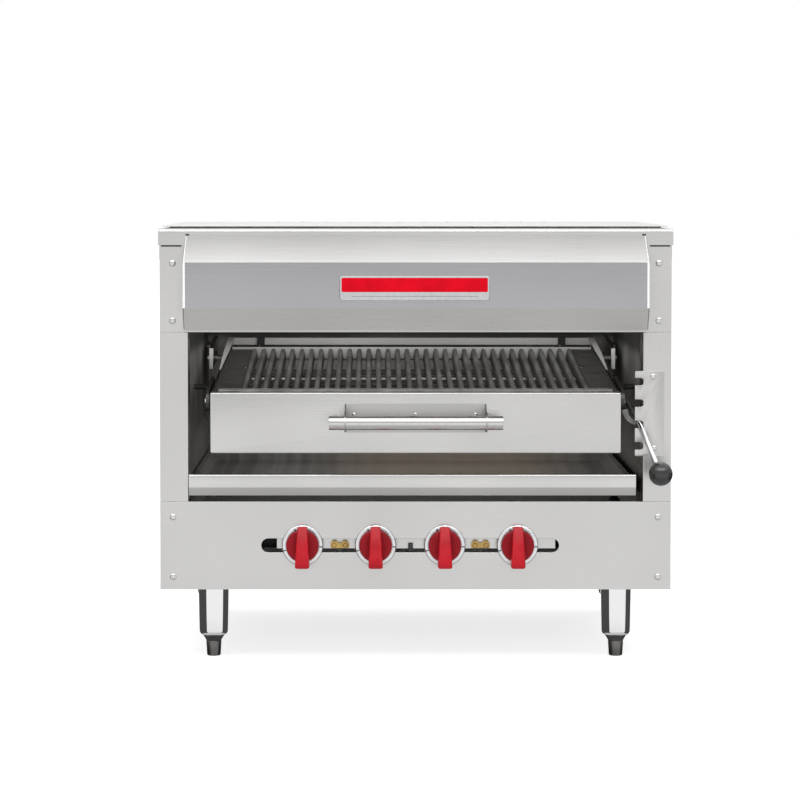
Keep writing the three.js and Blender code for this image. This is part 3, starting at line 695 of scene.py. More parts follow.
def hood_ring(bm, place, normal, half, inset):
    """One line across the hood: back edge, rounded end, face, rounded end, back edge."""
    back = -0.3045 if place.y > 0.745 else FRONT - 0.0001
    turn = HOOD_END - inset
    corner = arc((half - HOOD_END, 0.0), turn, 0, 90, 5)
    right = [(x, HOOD_END - out) for x, out in corner]
    line = [(-x, deep) for x, deep in right] + right[::-1]
    points = [(x, place.x - normal.x * deep, place.y - normal.y * deep) for x, deep in line]
    side = half - inset
    ends = [(-side, back, points[0][2]), (side, back, points[-1][2])]
    return [bm.verts.new(p) for p in [ends[0]] + points + [ends[1]]]


def add_hood():
    """The folded hood: a sloping top, an upright face and an undercut, with rounded ends."""
    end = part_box("hood")[1].x
    bm = bmesh.new()
    outer = []
    inner = []
    for place, normal in bent_path(HOOD_PATH, HOOD_BENDS):
        near_top = max(0.0, 1 - (HOOD_PATH[0][1] - place.y) / 0.004)
        half = end - 0.0025 * near_top ** 2
        outer.append(hood_ring(bm, place, normal, half, 0.0))
        inner.append(hood_ring(bm, place, normal, half, SHEET))
    join_rings(bm, outer, closed=False)
    # the rounded ends of the hood's face take the pale steel as a painted highlight
    for face in bm.faces:
        centre = face.calc_center_median()
        front = all(vert.co.y < -0.3046 for vert in face.verts)
        if front and centre.z > 0.637 and abs(centre.x) > end - HOOD_END:
            face.material_index = 1
    join_rings(bm, inner, closed=False)
    for first, second in ((outer[0], inner[0]), (outer[-1], inner[-1])):
        join_rings(bm, [first, second], closed=False)
    for side in (0, -1):
        edges = [[ring[side] for ring in rings] for rings in (outer, inner)]
        join_rings(bm, edges, closed=False)
    skins = "hood hood_end"
    piece("hood_skin", bm, skins, "cabinet", "stainless_cabinet", ["hood"], sharp=40)


def add_top():
    """The top sheet with its flue slots."""
    low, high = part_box("top_plate")
    bm = bmesh.new()
    xs = [low.x, high.x]
    for i in range(FLUE_SLOTS):
        middle = (i - (FLUE_SLOTS - 1) / 2) * 0.048
        xs += [middle - 0.0045, middle + 0.0045]
    slots = [(2 * i + 1, 1) for i in range(FLUE_SLOTS)]
    pierced_sheet(bm, sorted(xs), [low.y, 0.3, 0.375, high.y], (high.z - 0.0018, high.z), slots)
    piece("top_sheet", bm, "top", "cabinet", "stainless_cabinet", ["top_plate"], edge=0.0004)


def add_shadow_gaps():
    """Painted shade: a dark frame inset under the top sheet, and black strips at the cap's and hood's
    ends, where the gaps lie in shadow.
    """
    low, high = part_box("top_plate")
    bm = bmesh.new()
    inset = 0.012
    xs = [low.x + inset, -0.28, 0.28, high.x - inset]
    ys = [low.y + inset, 0.29, 0.385, high.y - 0.001]
    # a dark frame that stands in for the shadow in the gap under the top sheet
    pierced_sheet(bm, xs, ys, (low.z + 0.0002, high.z - 0.0019), [(1, 1)])
    for _, side in SIDES:
        # black strips for the shadow lines under the cap's lip and above the hood's ends
        block(bm, mirrored((0.416, 0.452), side), (FRONT - 0.0008, FRONT - 0.0001), (0.7442, 0.7468), 1)
        block(bm, mirrored((0.402, 0.4085), side), (-0.3042, -0.3034), (0.764, 0.7668), 1)
    piece("shadow_gaps", bm, "seam gap", "cabinet", "black_pipe")


# ---- badge

def add_badge():
    """A plain enamelled plate: a red field over a silver strip, with no lettering."""
    low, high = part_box("name_plate")
    bm = bmesh.new()
    edge = 0.0008
    rings = []
    for inset, depth in ((0.0, high.y), (0.0, low.y + edge), (edge, low.y)):
        box = (low.x + inset, high.x - inset, low.z + inset, high.z - inset)
        rings.append([bm.verts.new((x, depth, z)) for x, z in rounded_rectangle(*box, 0.006 - inset)])
    join_rings(bm, rings)
    cap(bm, rings[-1])
    border = 0.0034
    field_bottom = high.z - 0.0281
    field = rounded_rectangle(low.x + border, high.x - border, field_bottom, high.z - 0.003, 0.0026)
    prism(bm, "y", field, low.y - 0.0003, low.y + 0.0002, 1)
    middle = (low.z + field_bottom) / 2
    half = 0.0003
    block(bm, (low.x + 0.02, high.x - 0.02), (low.y - 0.0002, low.y), (middle - half, middle + half), 2)
    piece("badge", bm, "badge_silver badge_red mark", "cabinet", "badge_enamel", ["name_plate"])


# ---- knobs and bezels

BEZEL_RADIUS = 0.036
# a bezel's index marks: angle, distance from its centre, length and width
INDEX_MARKS = [(116, 0.0303, 0.0042, 0.0036), (-4, 0.0329, 0.0052, 0.0021), (196, 0.0329, 0.0052, 0.0021)]
INDEX_MARKS += [(angle, 0.0305, 0.003, 0.0016) for angle in (69, 61, 53, 45)]


def knob_centre(number):
    middle = middle_of(f"bezel_{number}")
    return Vector((middle.x, FRONT, middle.z))


def add_bezel(number):
    """A flat silver ring with plain index marks, and a thin black rim round it as painted shadow."""
    centre = knob_centre(number)
    bm = bmesh.new()
    profile = [
        (0.015, 0.0), (0.015, 0.0016), (0.028, 0.0016), (0.03, 0.0019), (0.0345, 0.002),
        (0.0354, 0.0017), (BEZEL_RADIUS, 0.0009), (BEZEL_RADIUS, 0.0),
    ]
    lathe(bm, profile, centre, (0, -1, 0), 72)
    # painted shadow: a black rim round the ring's outer edge
    rim = [(0.0352, 0.0), (0.0365, 0.0), (0.0365, 0.0007), (0.0352, 0.0009)]
    lathe(bm, rim, centre, (0, -1, 0), 72, 1)
    for angle, radius, length, width in INDEX_MARKS:
        along = (radius - length / 2, radius + length / 2)
        mark = block(bm, along, (-0.0022, -0.0017), (-width / 2, width / 2), 1)
        move(mark, Matrix.Translation(centre) @ Matrix.Rotation(math.radians(-angle), 4, "Y"))
    node = f"bezel_{number}"
    piece(f"bezel_ring_{number}", bm, "bezel mark", "cabinet", "bezel_metal", [node])


# heights on the knob's grip, from the knob's centre
GRIP_TOP = 0.0345
GRIP_BOTTOM = -0.038
GRIP_CREASE = -0.0335  # where its foot starts to lean back


def grip_section(z):
    """Half width, and how far the grip's face stands out from the panel, at a height on it."""
    t = (GRIP_TOP - z) / (GRIP_TOP - GRIP_BOTTOM)
    half = 0.0088 + 0.0042 * t
    out = 0.019 + 0.019 * math.sin(math.radians(90 * min(1.0, t * 1.15)))
    for end, radius in ((GRIP_TOP, 0.0026), (GRIP_BOTTOM, 0.0036)):
        short = max(0.0, radius - abs(end - z))
        half -= radius - math.sqrt(radius ** 2 - short ** 2)
    out -= max(0.0, GRIP_CREASE - z) * 1.3
    return half, out


def add_knob(number):
    """A round disc with a tapered grip across it that leans out towards its foot."""
    centre = knob_centre(number)
    bm = bmesh.new()
    profile = [(0.0, 0.003), (0.0275, 0.003), (0.029, 0.0045), (0.029, 0.0112), (0.0285, 0.0128),
               (0.027, 0.0138), (0.025, 0.0138), (0.018, 0.0126), (0.009, 0.012), (0.0, 0.0118)]
    lathe(bm, profile, centre, (0, -1, 0), 72)
    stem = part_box(f"knob_{number}")[1].y - FRONT
    lathe(bm, [(0.0, -0.004), (0.004, -0.004), (0.004, stem), (0.0, stem)], centre, (0, 1, 0), 24)
    heights = [GRIP_TOP - d for d in (0.0, 0.0003, 0.0009, 0.0017, 0.0026)]
    heights += [GRIP_TOP - 0.0026 - 0.0662 * i / 16 for i in range(1, 17)]
    heights += [GRIP_BOTTOM + d for d in (0.0024, 0.0013, 0.0005, 0.0)]
    soft = 0.0024
    rings = []
    for z in heights:
        half, out = grip_section(z)
        outline = [(-half, 0.0035), (-half, out - soft)]
        outline += arc((-half + soft, out - soft), soft, 180, 90, 4)[1:]
        outline += arc((half - soft, out - soft), soft, 90, 0, 4)
        outline += [(half, 0.0035)]
        rings.append([bm.verts.new(centre + Vector((a, -b, z))) for a, b in outline])
    loft(bm, rings, 1)
    name = f"knob_cap_{number}"
    body = f"knob_body_{number}"
    # the disc takes the darker red: painted shade
    obj = piece(name, bm, "knob_disc knob", body, "red_knob", [f"knob_{number}"], sharp=50)
    round_edges(obj, 0.001, 3, 50)


# ---- gas controls seen in the slot

SLOT_Z = (0.2046, 0.2231)  # height of the strip behind it


def add_slot_strip():
    """The pale strip behind the upper part of the control slot, cut short behind each bezel."""
    bm = bmesh.new()
    centres = [knob_centre(number).x for number in NUMBERS]
    hidden = 0.022
    edges = [-0.2475] + [x + side * hidden for x in centres for side in (-1, 1)] + [0.25]
    for start, stop in zip(edges[0::2], edges[1::2]):
        block(bm, (start, stop), (FRONT + 0.0125, FRONT + 0.014), SLOT_Z)
    piece("slot_strip", bm, "panel", "cabinet", "stainless_cabinet", edge=0.0003)


def add_pilot(name):
    """A brass double valve: a notched body with two nuts and their adjusting screws."""
    node = f"pilot_valve_{name}"
    middle = middle_of(node)
    centre = Vector((middle.x, FRONT, middle.z))
    bm = bmesh.new()
    right = [(0.0165, -0.006), (0.0165, 0.0022), (0.0125, 0.0078), (0.0052, 0.0078), (0.0042, 0.004)]
    outline = [(-0.0165, -0.006)] + right + [(-x, z) for x, z in right[:0:-1]]
    outline = [(centre.x + x, centre.z + z + 0.0005) for x, z in outline]
    prism(bm, "y", outline, FRONT + 0.0052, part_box(node)[1].y)
    turned = (
        ([(0.0048, 0.0), (0.0048, 0.003), (0.004, 0.004), (0.0, 0.0042)], 0.006, 6),
        ([(0.0026, 0.0), (0.0026, 0.0056), (0.002, 0.0062), (0.0, 0.0062)], 0.006, 20),
    )
    for _, side in SIDES:
        for profile, depth, sides in turned:
            spot = centre + Vector((side * 0.01, depth, -0.001))
            lathe(bm, profile, spot, (0, -1, 0), sides)
        tip = centre + Vector((side * 0.01, 0.0055, 0.0058))
        lathe(bm, [(0.0022, 0.0), (0.0022, 0.003), (0.0, 0.003)], tip, (0, -1, 0), 16)
    block(bm, (centre.x - 0.0045, centre.x + 0.0045), (FRONT + 0.006, FRONT + 0.011),
          (centre.z - 0.0115, centre.z - 0.005), 1)
    piece(f"pilot_{name}", bm, "brass pipe", "cabinet", "brass_fittings", [node], edge=0.0004)


def add_slot_stud():
    """A dark stud behind the middle of the slot."""
    bm = bmesh.new()
    block(bm, (-0.013, -0.0045), (FRONT + 0.004, FRONT + 0.012), (0.1995, 0.2145))
    piece("slot_stud", bm, "pipe", "cabinet", "black_pipe", edge=0.0008)


def add_inlet_collar():
    """A collar that closes the back panel's hole around the gas inlet."""
    low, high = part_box("gas_inlet_pipe")
    centre = Vector(((low.x + high.x) / 2, BACK + 0.0002, (low.z + high.z) / 2))
    bore = (high.z - low.z) / 2 + 0.0002
    rim = bore + 0.0098
    bm = bmesh.new()
    profile = [(bore, 0.0), (rim, 0.0), (rim, 0.0014), (rim - 0.001, 0.0022), (bore, 0.0022), (bore, 0.0)]
    lathe(bm, profile, centre, (0, 1, 0), 40)
    bmesh.ops.remove_doubles(bm, verts=bm.verts, dist=0.000001)
    piece("inlet_collar", bm, "pipe", "cabinet", "black_pipe", sharp=40)


# ---- legs and feet

def leg_centre(node):
    middle = middle_of(node)
    return Vector((middle.x, middle.y, 0.0))


def add_leg(row, name):
    """A chromed leg on a black cone, hollow for the foot's stem."""
    node = f"leg_{row}_{name}"
    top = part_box(node)[1].z
    bm = bmesh.new()
    profile = [(0.0, 0.085), (0.0087, 0.085), (0.0087, 0.0279), (0.0138, 0.0279), (0.0146, 0.0296),
               (0.0192, 0.0372), (0.0203, 0.0384)]
    for angle in (12, 30, 48, 66, 90):
        turn = math.radians(angle)
        profile.append((0.0203 + 0.0058 * math.sin(turn), 0.0462 - 0.0076 * math.cos(turn)))
    profile += [(0.0261 + 0.0017 * t, 0.0462 + (top - 0.05) * t) for t in (0.33, 0.66, 1.0)]
    profile += [(0.0279, top - 0.001), (0.0274, top), (0.0, top)]
    lathe(bm, profile, leg_centre(node), sides=72)
    for face in bm.faces:
        if face.calc_center_median().z < 0.0385:
            face.material_index = 1
    piece(f"{node}_chrome", bm, "chrome pipe", "cabinet", "chrome", [node], sharp=42)


def add_foot(row, name):
    """A turned foot on its stem, which screws up into the leg."""
    node = f"foot_{row}_{name}"
    top = 0.0276
    bm = bmesh.new()
    profile = [(0.0, 0.0012), (0.006, 0.0012), (0.007, 0.0), (0.0104, 0.0), (0.0118, 0.0006),
               (0.0124, 0.0018), (0.0138, top - 0.0018), (0.0135, top - 0.0005), (0.013, top),
               (0.008, top), (0.008, 0.0768), (0.0, 0.077)]
    lathe(bm, profile, leg_centre(f"leg_{row}_{name}"), sides=48)
    piece(f"{node}_steel", bm, "foot", f"foot_body_{row}_{name}", "foot_steel", [node], sharp=40)


# ---- drawer front and handle

def add_drawer_front():
    """A shallow folded box, open at the back, with softly bent edges."""
    low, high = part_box("drawer_front")
    bm = bmesh.new()
    corner = 0.0036
    bend = 0.002
    shells = []
    for angle in (90, 67, 45, 22, 0):
        turn = math.radians(angle)
        shells.append((bend * (1 - math.cos(turn)), low.y + bend * (1 - math.sin(turn))))
    shells += [(0.0, high.y), (SHEET, high.y), (SHEET, low.y + SHEET)]
    rings = []
    for inset, depth in shells:
        box = (low.x + inset, high.x - inset, low.z + inset, high.z - inset)
        rings.append([bm.verts.new((x, depth, z)) for x, z in rounded_rectangle(*box, corner - inset)])
    loft(bm, rings)
    piece("drawer_face", bm, "drawer", "drawer", "stainless_drawer", ["drawer_front"], sharp=30)


def add_handle():
    """A polished tube, its ends closed with a narrow rim."""
    low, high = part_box("handle_tube")
    radius = (high.z - low.z) / 2
    half = (high.x - low.x) / 2
    edge = 0.0007
    bm = bmesh.new()
    profile = [(0.0, -half + 0.0012), (radius - 0.0026, -half + 0.0012), (radius - 0.002, -half + edge),
               (radius - edge * 1.4, -half), (radius - edge * 0.4, -half + edge * 0.4),
               (radius, -half + edge * 1.4)]
    profile += [(r, -h) for r, h in reversed(profile)]
    lathe(bm, profile, (low + high) / 2, (1, 0, 0), 72)
    piece("handle_bar", bm, "handle", "drawer", "handle_steel", ["handle_tube"], sharp=35)


def add_handle_mount():
    """The handle's back plate, with an ear and a collar at each end; the ears take dark steel as painted
    shade.
    """
    tube_low, tube_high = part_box("handle_tube")
    centre = (tube_low + tube_high) / 2
    radius = (tube_high.z - tube_low.z) / 2
    low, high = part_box("handle_bracket")
    face = FRONT - SHEET
    nose = centre.y + radius * 0.45
    bm = bmesh.new()
    prism(bm, "y", rounded_rectangle(low.x, high.x, 0.4134, 0.465, 0.0015, 3), face, FRONT)
    ear = [(face, 0.415), (face, 0.464), (face - 0.012, 0.456)]
    ear += [(nose, 0.452), (nose, 0.418), (face - 0.012, 0.416)]
    inner = radius + 0.0001
    outer = radius + 0.0009
    for _, side in SIDES:
        # painted shade: the ears take the dark arm steel, so that they read as dark lines seen edge-on
        prism(bm, "x", ear, *mirrored((high.x - 0.0022, high.x - 0.0002), side), 1)
        start = mirrored((high.x - 0.003, high.x + 0.0008), side)[0]
        collar = [(inner, 0.0), (outer, 0.0), (outer, 0.0038), (inner, 0.0038)]
        lathe(bm, collar, (start, centre.y, centre.z), (1, 0, 0), 48)
    piece("handle_mount", bm, "mount arm", "drawer", "handle_steel", ["handle_bracket"])
    spots = [(x, face, 0.4455) for x in (-0.1096, -0.0002, 0.1066)]
    add_screws("handle_screws", spots, (0, -1, 0), 0.0034, 0.002, "drawer", "handle_steel")


# ---- grate

BAR_PITCH = 0.01867
BAR_COUNT = 34
GRATE_HALF = 0.3556
BARS = (0.017, 0.515)  # where the bars start and end, along the slope
REAR_WALL = 0.527  # the drawer's rear wall, along the slope


def bar_section(x, foot):
    """A bar's outline: a rounded crown on sides that spread towards its foot."""
    crown = 0.0042
    deep = -0.0215
    outline = [(x - foot, deep), (x + foot, deep), (x + foot, deep + 0.003), (x + crown, -0.0026)]
    outline += arc((x, -0.0042), crown, 24, 156, 5)
    outline += [(x - crown, -0.0026), (x - foot, deep + 0.003)]
    return outline


def add_bar(bm, x):
    rings = []
    for y, foot in ((BARS[0], 0.0049), (0.365, 0.0049), (0.44, 0.0054), (BARS[1], 0.0062)):
        rings.append([bm.verts.new((a, y, b)) for a, b in bar_section(x, foot)])
    sloping(loft(bm, rings))


def add_grate():
    """Cast bars, wider at the foot than at the crown, joined by cross ribs, in a flat steel frame."""
    bm = bmesh.new()
    for i in range(BAR_COUNT):
        add_bar(bm, (i - (BAR_COUNT - 1) / 2) * BAR_PITCH)
    width = (BAR_COUNT - 1) / 2 * BAR_PITCH
    for y in (0.162, 0.221, 0.313, 0.347):
        rib = [(y - 0.0036, -0.0212), (y + 0.0036, -0.0212), (y + 0.0026, -0.016), (y - 0.0026, -0.016)]
        sloping(prism(bm, "x", rib, -width, width))
    inner = width + 0.0048
    for _, side in SIDES:
        slab(bm, mirrored((inner, 0.3604), side), (0.0, REAR_WALL), (-0.006, -0.003), 1)
        edge = mirrored((GRATE_HALF - 0.004, GRATE_HALF), side)
        slab(bm, edge, (0.018, REAR_WALL), (-0.022, -0.001), 1)
        web = mirrored((width - 0.001, inner + 0.001), side)
        slab(bm, web, BARS, (-0.02, -0.0068), 1)
    slab(bm, (-0.352, 0.352), (0.0, 0.018), (-0.006, -0.0003), 2)
    skins = "iron side_plate grate_rim"
    piece("grate_casting", bm, skins, "drawer", "cast_iron", ["grate"], edge=0.0006, sharp=50)


def add_grate_screws():
    up = SLOPE.to_3x3() @ Vector((0, 0, 1))
    spots = [SLOPE @ Vector((side * 0.316, 0.29, -0.003)) for _, side in SIDES]
    add_screws("grate_screws", spots, up, 0.0045, 0.0028, "drawer", "drawer_steel")


def add_grate_strips():
    """Flat pale strips under the bars, which stand in for the lit top edges of the ribs as painted
    highlight, and the drawer's two rear walls.
    """
    bm = bmesh.new()
    for y in (0.14, 0.195, 0.298, 0.33):
        # painted highlight: pale strips for the lit edges of the ribs
        slab(bm, (-0.34, 0.34), (y - 0.0035, y + 0.0035), (-0.0256, -0.0244))
    slab(bm, (-0.352, 0.352), (REAR_WALL, REAR_WALL + 0.002), (-0.022, 0.001), 1)
    slab(bm, (-0.338, 0.338), (0.504, 0.506), (-0.044, -0.0222), 1)
    piece("grate_strips", bm, "grate_rim splash", "drawer", "stainless_drawer", edge=0.0004)


def add_grate_rod():
    """A plain rod across, under the bars."""
    bm = bmesh.new()
    profile = [(0.0, -0.338), (0.0027, -0.338), (0.0027, 0.338), (0.0, 0.338)]
    lathe(bm, profile, SLOPE @ Vector((0.0, 0.268, -0.0229)), (1, 0, 0), 24)
    piece("grate_rod", bm, "rod", "drawer", "chrome", sharp=40)


# ---- carriage details

SPLASH = ("carriage", "stainless_carriage")  # body and slot
CLIP_X = 0.298


def add_splash():
    """The rear splash's face, and the flanges folded in along the carriage's sides."""
    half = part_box("carriage_frame")[1].x
    bm = bmesh.new()
    slab(bm, (-half + 0.001, half - 0.001), (0.5885, 0.5905), (-0.003, 0.0108))
    for _, side in SIDES:
        edge = [(half, 0.262, -0.004), (half, 0.42, 0.006), (half, 0.592, 0.0092)]
        fold = [(half - 0.0022, 0.262, -0.004), (0.3535, 0.445, 0.0066), (0.3515, 0.589, 0.0092)]
        rings = []
        for line in (edge, fold):
            for lift in (0.0, 0.0012):
                rings.append([bm.verts.new((side * x, y, z + lift)) for x, y, z in line])
        order = [rings[0], rings[1], rings[3], rings[2], rings[0]]
        join_rings(bm, order, closed=False)
        for i in (0, -1):
            bm.faces.new([ring[i] for ring in order[:4]])
        sloping([v for ring in rings for v in ring])
    piece("splash_face", bm, "splash", *SPLASH, edge=0.0003)


def add_splash_clips():
    """Dark clips over the splash's foot, each with a small screw, and a black strip across it as painted
    shade.
    """
    bm = bmesh.new()
    for _, side in SIDES:
        x = side * CLIP_X
        slab(bm, (x - 0.0072, x + 0.0072), (0.58, 0.588), (-0.008, 0.0125))
    # painted shade: a black strip across the splash's foot, for the dark recess there
    slab(bm, (-0.352, 0.352), (0.584, 0.587), (-0.009, -0.0034))
    piece("splash_clips", bm, "gap", *SPLASH, edge=0.0012)
    spots = [SLOPE @ Vector((side * CLIP_X - 0.0035, 0.58, -0.0035)) for _, side in SIDES]
    add_screws("clip_screws", spots, (0, -1, 0), 0.0022, 0.0014, *SPLASH)


def add_splash_hem():
    """The folded hem along the splash's lower edge."""
    bm = bmesh.new()
    for z in (-0.06, -0.053):
        slab(bm, (-0.355, 0.355), (0.587, 0.5905), (z - 0.0012, z + 0.0012))
    piece("splash_hem", bm, "carriage", *SPLASH, edge=0.0006)


# ---- drip tray

# the pan's outside at its rim, as x and y spans
PAN_X = (-0.396, 0.3845)
PAN_Y = (-0.292, 0.355)
PAN_TOP = 0.328
PAN_CORNER = 0.006


def pan_ring(bm, inset, z, corner):
    box = (PAN_X[0] + inset, PAN_X[1] - inset, PAN_Y[0] + inset, PAN_Y[1] - inset)
    return [bm.verts.new((x, y, z)) for x, y in rounded_rectangle(*box, corner)]


def add_pan(bm, floor):
    """The tray's pan: leaning walls round a flat floor, plain outside, and inside with grease and painted
    light and shadow.
    """
    lean = 0.004
    corner = PAN_CORNER
    walls = [(0.0, PAN_TOP), (lean * 0.9, floor + 0.004)]
    walls += [(lean + 0.0016, floor + 0.0008), (lean + 0.004, floor)]
    outer = [pan_ring(bm, inset, z, corner) for inset, z in walls]
    cap(bm, outer[-1])
    join_rings(bm, outer)
    inner = [pan_ring(bm, inset + SHEET, min(z + SHEET, PAN_TOP), corner - SHEET) for inset, z in walls]
    join_rings(bm, inner, 1)
    cap(bm, inner[-1], 1)
    join_rings(bm, [outer[0], inner[0]])


def add_lip(bm, low, high):
    """The tray's front lip, rolled over at the top and turned under at its foot, and its backing."""
    face = low.y
    undercut = [(face, low.z + 0.016), (face + 0.0001, low.z + 0.015), (face + 0.0004, low.z + 0.0141),
                (face + 0.0046, low.z + 0.0014), (face + 0.0052, low.z + 0.0004), (face + 0.0066, low.z)]
    roll = (face + 0.0022, high.z - 0.0022)
    root = (PAN_Y[0] + 0.0015, high.z)
    outer = [root] + arc(roll, 0.0022, 90, 180, 5) + undercut
    inside = [(root[0] + SHEET * 0.7, root[1] - SHEET)] + arc(roll, 0.001, 90, 180, 5)
    inside += [(y + 0.0012, z + 0.0003) for y, z in undercut]
    prism(bm, "x", outer + inside[::-1], low.x, high.x)
    across = (PAN_X[0] + PAN_CORNER, PAN_X[1] - PAN_CORNER)
    block(bm, across, (PAN_Y[0] + 0.0002, PAN_Y[0] + 0.0014), (PAN_TOP - 0.002, high.z - 0.0006))


def add_pan_flanges(bm):
    """The narrow flanges along the pan's sides, which slide on the rails."""
    for edge, out in zip((PAN_X[0] + 0.001, PAN_X[1] - 0.001), (-0.0075, 0.0075)):
        across = sorted((edge, edge + out))
        block(bm, across, (PAN_Y[0] + 0.01, PAN_Y[1] - 0.005), (PAN_TOP - 0.0012, PAN_TOP), 1)


def add_drip_tray():
    low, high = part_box("drip_tray")
    bm = bmesh.new()
    add_pan(bm, low.z)
    add_lip(bm, low, high)
    add_pan_flanges(bm)
    replaced = ["drip_tray"]
    piece("drip_pan", bm, "tray tray_inside", "tray", "stainless_tray", replaced, edge=0.0003, sharp=32)


# ---- lever

LEVER_ROOT = Vector((0.38, -0.257, 0.46853))
LEVER_NOTCH = Vector((0.3985, -0.3015, 0.4279))
# the flat strap beside the lever's root, from its top down to the notch
STRAP = [
    (0.3742, -0.28, 0.453), (0.375, -0.2805, 0.448), (0.3768, -0.2812, 0.4425),
    (0.381, -0.2835, 0.436), (0.387, -0.289, 0.4318), (0.3928, -0.2955, 0.43),
]


def lever_ball():
    """The ball's centre, and where the lever's straight part starts above it."""
    low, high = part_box("lever_ball")
    ball = (low + high) / 2
    return ball, LEVER_NOTCH.lerp(ball, 0.2)


def add_strap(bm):
    """A strap that follows its line, square to it in the view from the front."""
    rings = []
    for i, (x, y, z) in enumerate(STRAP):
        before = STRAP[max(i - 1, 0)]
        after = STRAP[min(i + 1, len(STRAP) - 1)]
        ahead = Vector((after[0] - before[0], after[2] - before[2]))
        across = Vector((ahead.y, -ahead.x)).normalized() * (0.0052 - 0.0003 * i)
        corners = ((-1, 0.0), (1, 0.0), (1, 0.002), (-1, 0.002))
        rings.append([bm.verts.new((x + s * across.x, y + d, z + s * across.y)) for s, d in corners])
    loft(bm, rings, 2)


def add_lever():
    """A bar from the arms' pivot, bent where it lies in its notch, with a strap behind the bend."""
    ball, after = lever_ball()
    before = LEVER_ROOT.lerp(LEVER_NOTCH, 0.75)
    bend = []
    for t in (0, 0.17, 0.33, 0.5, 0.67, 0.83, 1):
        bend.append((1 - t) ** 2 * before + 2 * t * (1 - t) * LEVER_NOTCH + t * t * after)
    bm = bmesh.new()
    tube(bm, bend[2:] + [ball.lerp(after, 0.12)], 0.0048, 28)
    tube(bm, [LEVER_ROOT] + bend[:4], 0.004, 24, 1)
    add_strap(bm)
    piece("lever_bar", bm, "chrome arm strap", "lever", "chrome", ["lever_rod"], sharp=50)


def add_lever_ball():
    """A black ball with a short neck towards the lever."""
    ball, after = lever_ball()
    low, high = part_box("lever_ball")
    radius = (high.x - low.x) / 2
    neck = 0.0074
    start = math.degrees(math.asin(neck / radius))
    profile = [(0.0, radius + 0.002), (0.0044, radius + 0.0026), (0.0062, radius + 0.0028)]
    profile.append((neck, radius + 0.0012))
    for i in range(1, 30):
        turn = math.radians(start + (180 - start) * i / 30)
        profile.append((radius * math.sin(turn), radius * math.cos(turn)))
    profile.append((0.0, -radius))
    bm = bmesh.new()
    lathe(bm, profile, ball, (after - ball).normalized(), 64)
    piece("lever_knob", bm, "ball", "lever", "black_ball", ["lever_ball"], sharp=50)


def add_arm_bolts():
    """Bolt heads on the pins that the arms turn on."""
    # row, lower pin's y and z, head's radius, and where the head starts and ends across the object
    sets = (
        ("front", (-0.25, 0.467), 0.006, (0.3752, 0.378)),
        ("rear", (0.18, 0.52), 0.0068, (0.393, 0.3975)),
    )
    run = 0.16  # from an arm's lower pin to its upper one
    rise = 0.014
    for row, (y, z), radius, (start, stop) in sets:
        deep = stop - start
        head = [(0.0, 0.0), (radius, 0.0), (radius, deep * 0.8), (radius * 0.86, deep), (0.0, deep)]
        washer = [(0.0, -0.0008), (radius * 1.3, -0.0008), (radius * 1.3, 0.0006), (0.0, 0.0006)]
        bm = bmesh.new()
        for _, side in SIDES:
            for place in ((side * start, y, z), (side * start, y + run, z + rise)):
                lathe(bm, head, place, (side, 0, 0), 6)
                lathe(bm, washer, place, (side, 0, 0), 28)
        piece(f"{row}_arm_bolts", bm, "screw", f"{row}_arms", "arm_steel", edge=0.0003)


def add_arm_ends():
    """Flat ends on the rear arms, square to their length."""
    bm = bmesh.new()
    for _, side in SIDES:
        block(bm, mirrored((0.3852, 0.3928), side), (0.159, 0.1612), (0.4985, 0.5385))
    # the pale steel on these ends is a painted highlight
    piece("rear_arm_ends", bm, "hood_end", "rear_arms", "arm_steel", edge=0.0006)


# ---- stage

def add_floor():
    bm = bmesh.new()
    reach = 30.0
    verts = [bm.verts.new((x * reach, y * reach, 0.0)) for x, y in ((-1, -1), (1, -1), (1, 1), (-1, 1))]
    bm.faces.new(verts)
    floor = loose_object("floor", bm)
    finish = Finish("pale_floor", (0.5, 0.5, 0.5), 0.9)
    finish.set("Emission Color", (1.0, 1.0, 1.0, 1.0))
    finish.set("Emission Strength", 0.66)
    floor.data.materials.append(finish.material)
    floor.visible_glossy = False


def add_camera():
    """A camera tilted slightly down, its frame shifted to keep the uprights almost parallel."""
    data = bpy.data.cameras.new("camera")
    camera = bpy.data.objects.new("camera", data)
    scene.collection.objects.link(camera)
    data.lens = 131.8
    data.sensor_width = 36.0
    data.shift_x = 0.0325
    data.shift_y = -0.11
    data.clip_end = 100.0
    camera.location = (-0.074, -5.5, 0.845)
    camera.rotation_euler = (math.radians(87.611), 0, 0)
    scene.camera = camera


def area_light(name, place, aim, size, power):
    """A soft light that neither the camera nor a reflection shows."""
    data = bpy.data.lights.new(name, "AREA")
    data.shape = "RECTANGLE"
    data.size, data.size_y = size
    data.energy = power
    light = bpy.data.objects.new(name, data)
    scene.collection.objects.link(light)
    look = (Vector(aim) - Vector(place)).to_track_quat("-Z", "Y").to_matrix().to_4x4()
    light.matrix_world = Matrix.Translation(place) @ look
    light.visible_camera = False
    light.visible_glossy = False


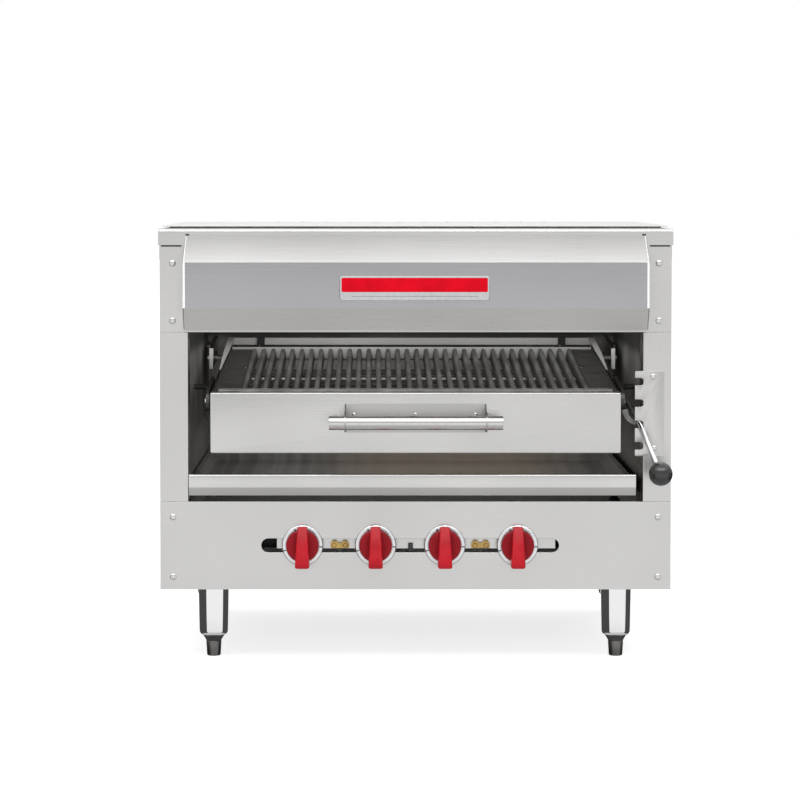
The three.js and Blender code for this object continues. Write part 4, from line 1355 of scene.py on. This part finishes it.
class Sky(Nodes):
    """The world's shader, which gives a level for each direction."""

    def __init__(self):
        scene.world = bpy.data.worlds.new("studio")
        scene.world.use_nodes = True
        super().__init__(scene.world.node_tree)
        generated = self.node("ShaderNodeTexCoord").outputs["Generated"]
        self.x, self.y, self.z = self.node("ShaderNodeSeparateXYZ", Vector=generated).outputs

    def step(self, value, low, high, to_low=0.0, to_high=1.0):
        """A soft step from one level to another."""
        return self.remap(value, low, high, to_low, to_high, "SMOOTHSTEP")

    def darker(self, level, where, amount):
        return self.product(level, self.math("SUBTRACT", 1.0, self.product(where, amount)))

    def brighter(self, level, where, amount):
        return self.math("ADD", level, self.product(where, amount))

    def show(self, level):
        """Uses the level for light and reflections, and plain white for what the camera sees."""
        seen = self.node("ShaderNodeLightPath").outputs["Is Camera Ray"]
        shown = self.product(level, self.math("SUBTRACT", 1.0, seen))
        background = self.tree.nodes["Background"]
        self.feed(background.inputs["Strength"], self.math("ADD", shown, seen))
        self.feed(background.inputs["Color"], (1.0, 1.0, 1.0, 1.0))


def add_sky():
    """Pale all round, with a soft box high in front, a dim band at the horizon and dark low flanks.

    A narrow bright patch lies straight behind the object, and a dim one behind it to the left.
    """
    sky = Sky()
    below = sky.step(sky.z, -0.85, -0.05, 0.55, 1.05)
    band = sky.step(sky.z, 0.0, 0.1, 1.0, 0.62)
    above = sky.step(sky.z, 0.5, 0.66, 0.0, 0.7)
    level = sky.math("ADD", sky.product(below, band), above)
    high = sky.product(sky.step(sky.z, 0.6, 0.68), sky.step(sky.z, 0.93, 0.86))
    level = sky.brighter(level, sky.product(high, sky.step(sky.y, -0.3, -0.42)), 3.0)
    turned = sky.math("SUBTRACT", sky.y, sky.product(sky.x, 0.2))
    flank = sky.product(sky.step(turned, -0.42, -0.36), sky.step(sky.y, 0.95, 0.9))
    low = sky.product(sky.step(sky.z, -0.7, -0.5), sky.step(sky.z, 0.1, 0.0))
    level = sky.darker(level, sky.product(flank, low), 0.93)
    behind = sky.product(sky.step(sky.y, 0.93, 0.97), sky.step(sky.z, -0.05, 0.02))
    level = sky.brighter(level, behind, 0.35)
    left = sky.product(sky.step(sky.x, -0.24, -0.36), sky.step(sky.y, 0.22, 0.36))
    upper = sky.product(sky.step(sky.z, -0.05, 0.05), sky.step(sky.z, 0.7, 0.6))
    sky.show(sky.darker(level, sky.product(left, upper), 0.85))


def add_lights():
    """A soft light overhead, one low in front of the opening, and fills inside the cabinet."""
    area_light("overhead", (-0.6, -0.9, 2.9), (0, 0, 0.5), (2.4, 1.8), 12)
    area_light("chamber_fill", (0.0, -0.02, 0.632), (0.0, -0.02, 0.0), (0.74, 0.5), 2.6)
    area_light("tray_fill", (0.0, 0.1, 0.405), (0.0, 0.1, 0.0), (0.72, 0.42), 0.7)
    area_light("base_fill", (0.0, 0.02, 0.296), (0.0, 0.02, 0.0), (0.72, 0.45), 1.0)
    area_light("mouth_fill", (0.0, -1.6, 0.6), (0.0, 0.1, 0.44), (1.2, 0.5), 9)


# ---- the object

finish_kept_parts()
add_cabinet_screws()
add_hood()
add_top()
add_shadow_gaps()
add_badge()
for number in NUMBERS:
    add_bezel(number)
    add_knob(number)
add_slot_strip()
add_slot_stud()
add_inlet_collar()
for name, side in SIDES:
    add_pilot(name)
    for row in ("front", "rear"):
        add_leg(row, name)
        add_foot(row, name)
add_drawer_front()
add_handle()
add_handle_mount()
add_grate()
add_grate_screws()
add_grate_strips()
add_grate_rod()
add_splash()
add_splash_clips()
add_splash_hem()
add_drip_tray()
add_lever()
add_lever_ball()
add_arm_bolts()
add_arm_ends()
add_floor()
add_camera()
add_sky()
add_lights()
scene.view_settings.view_transform = "Standard"
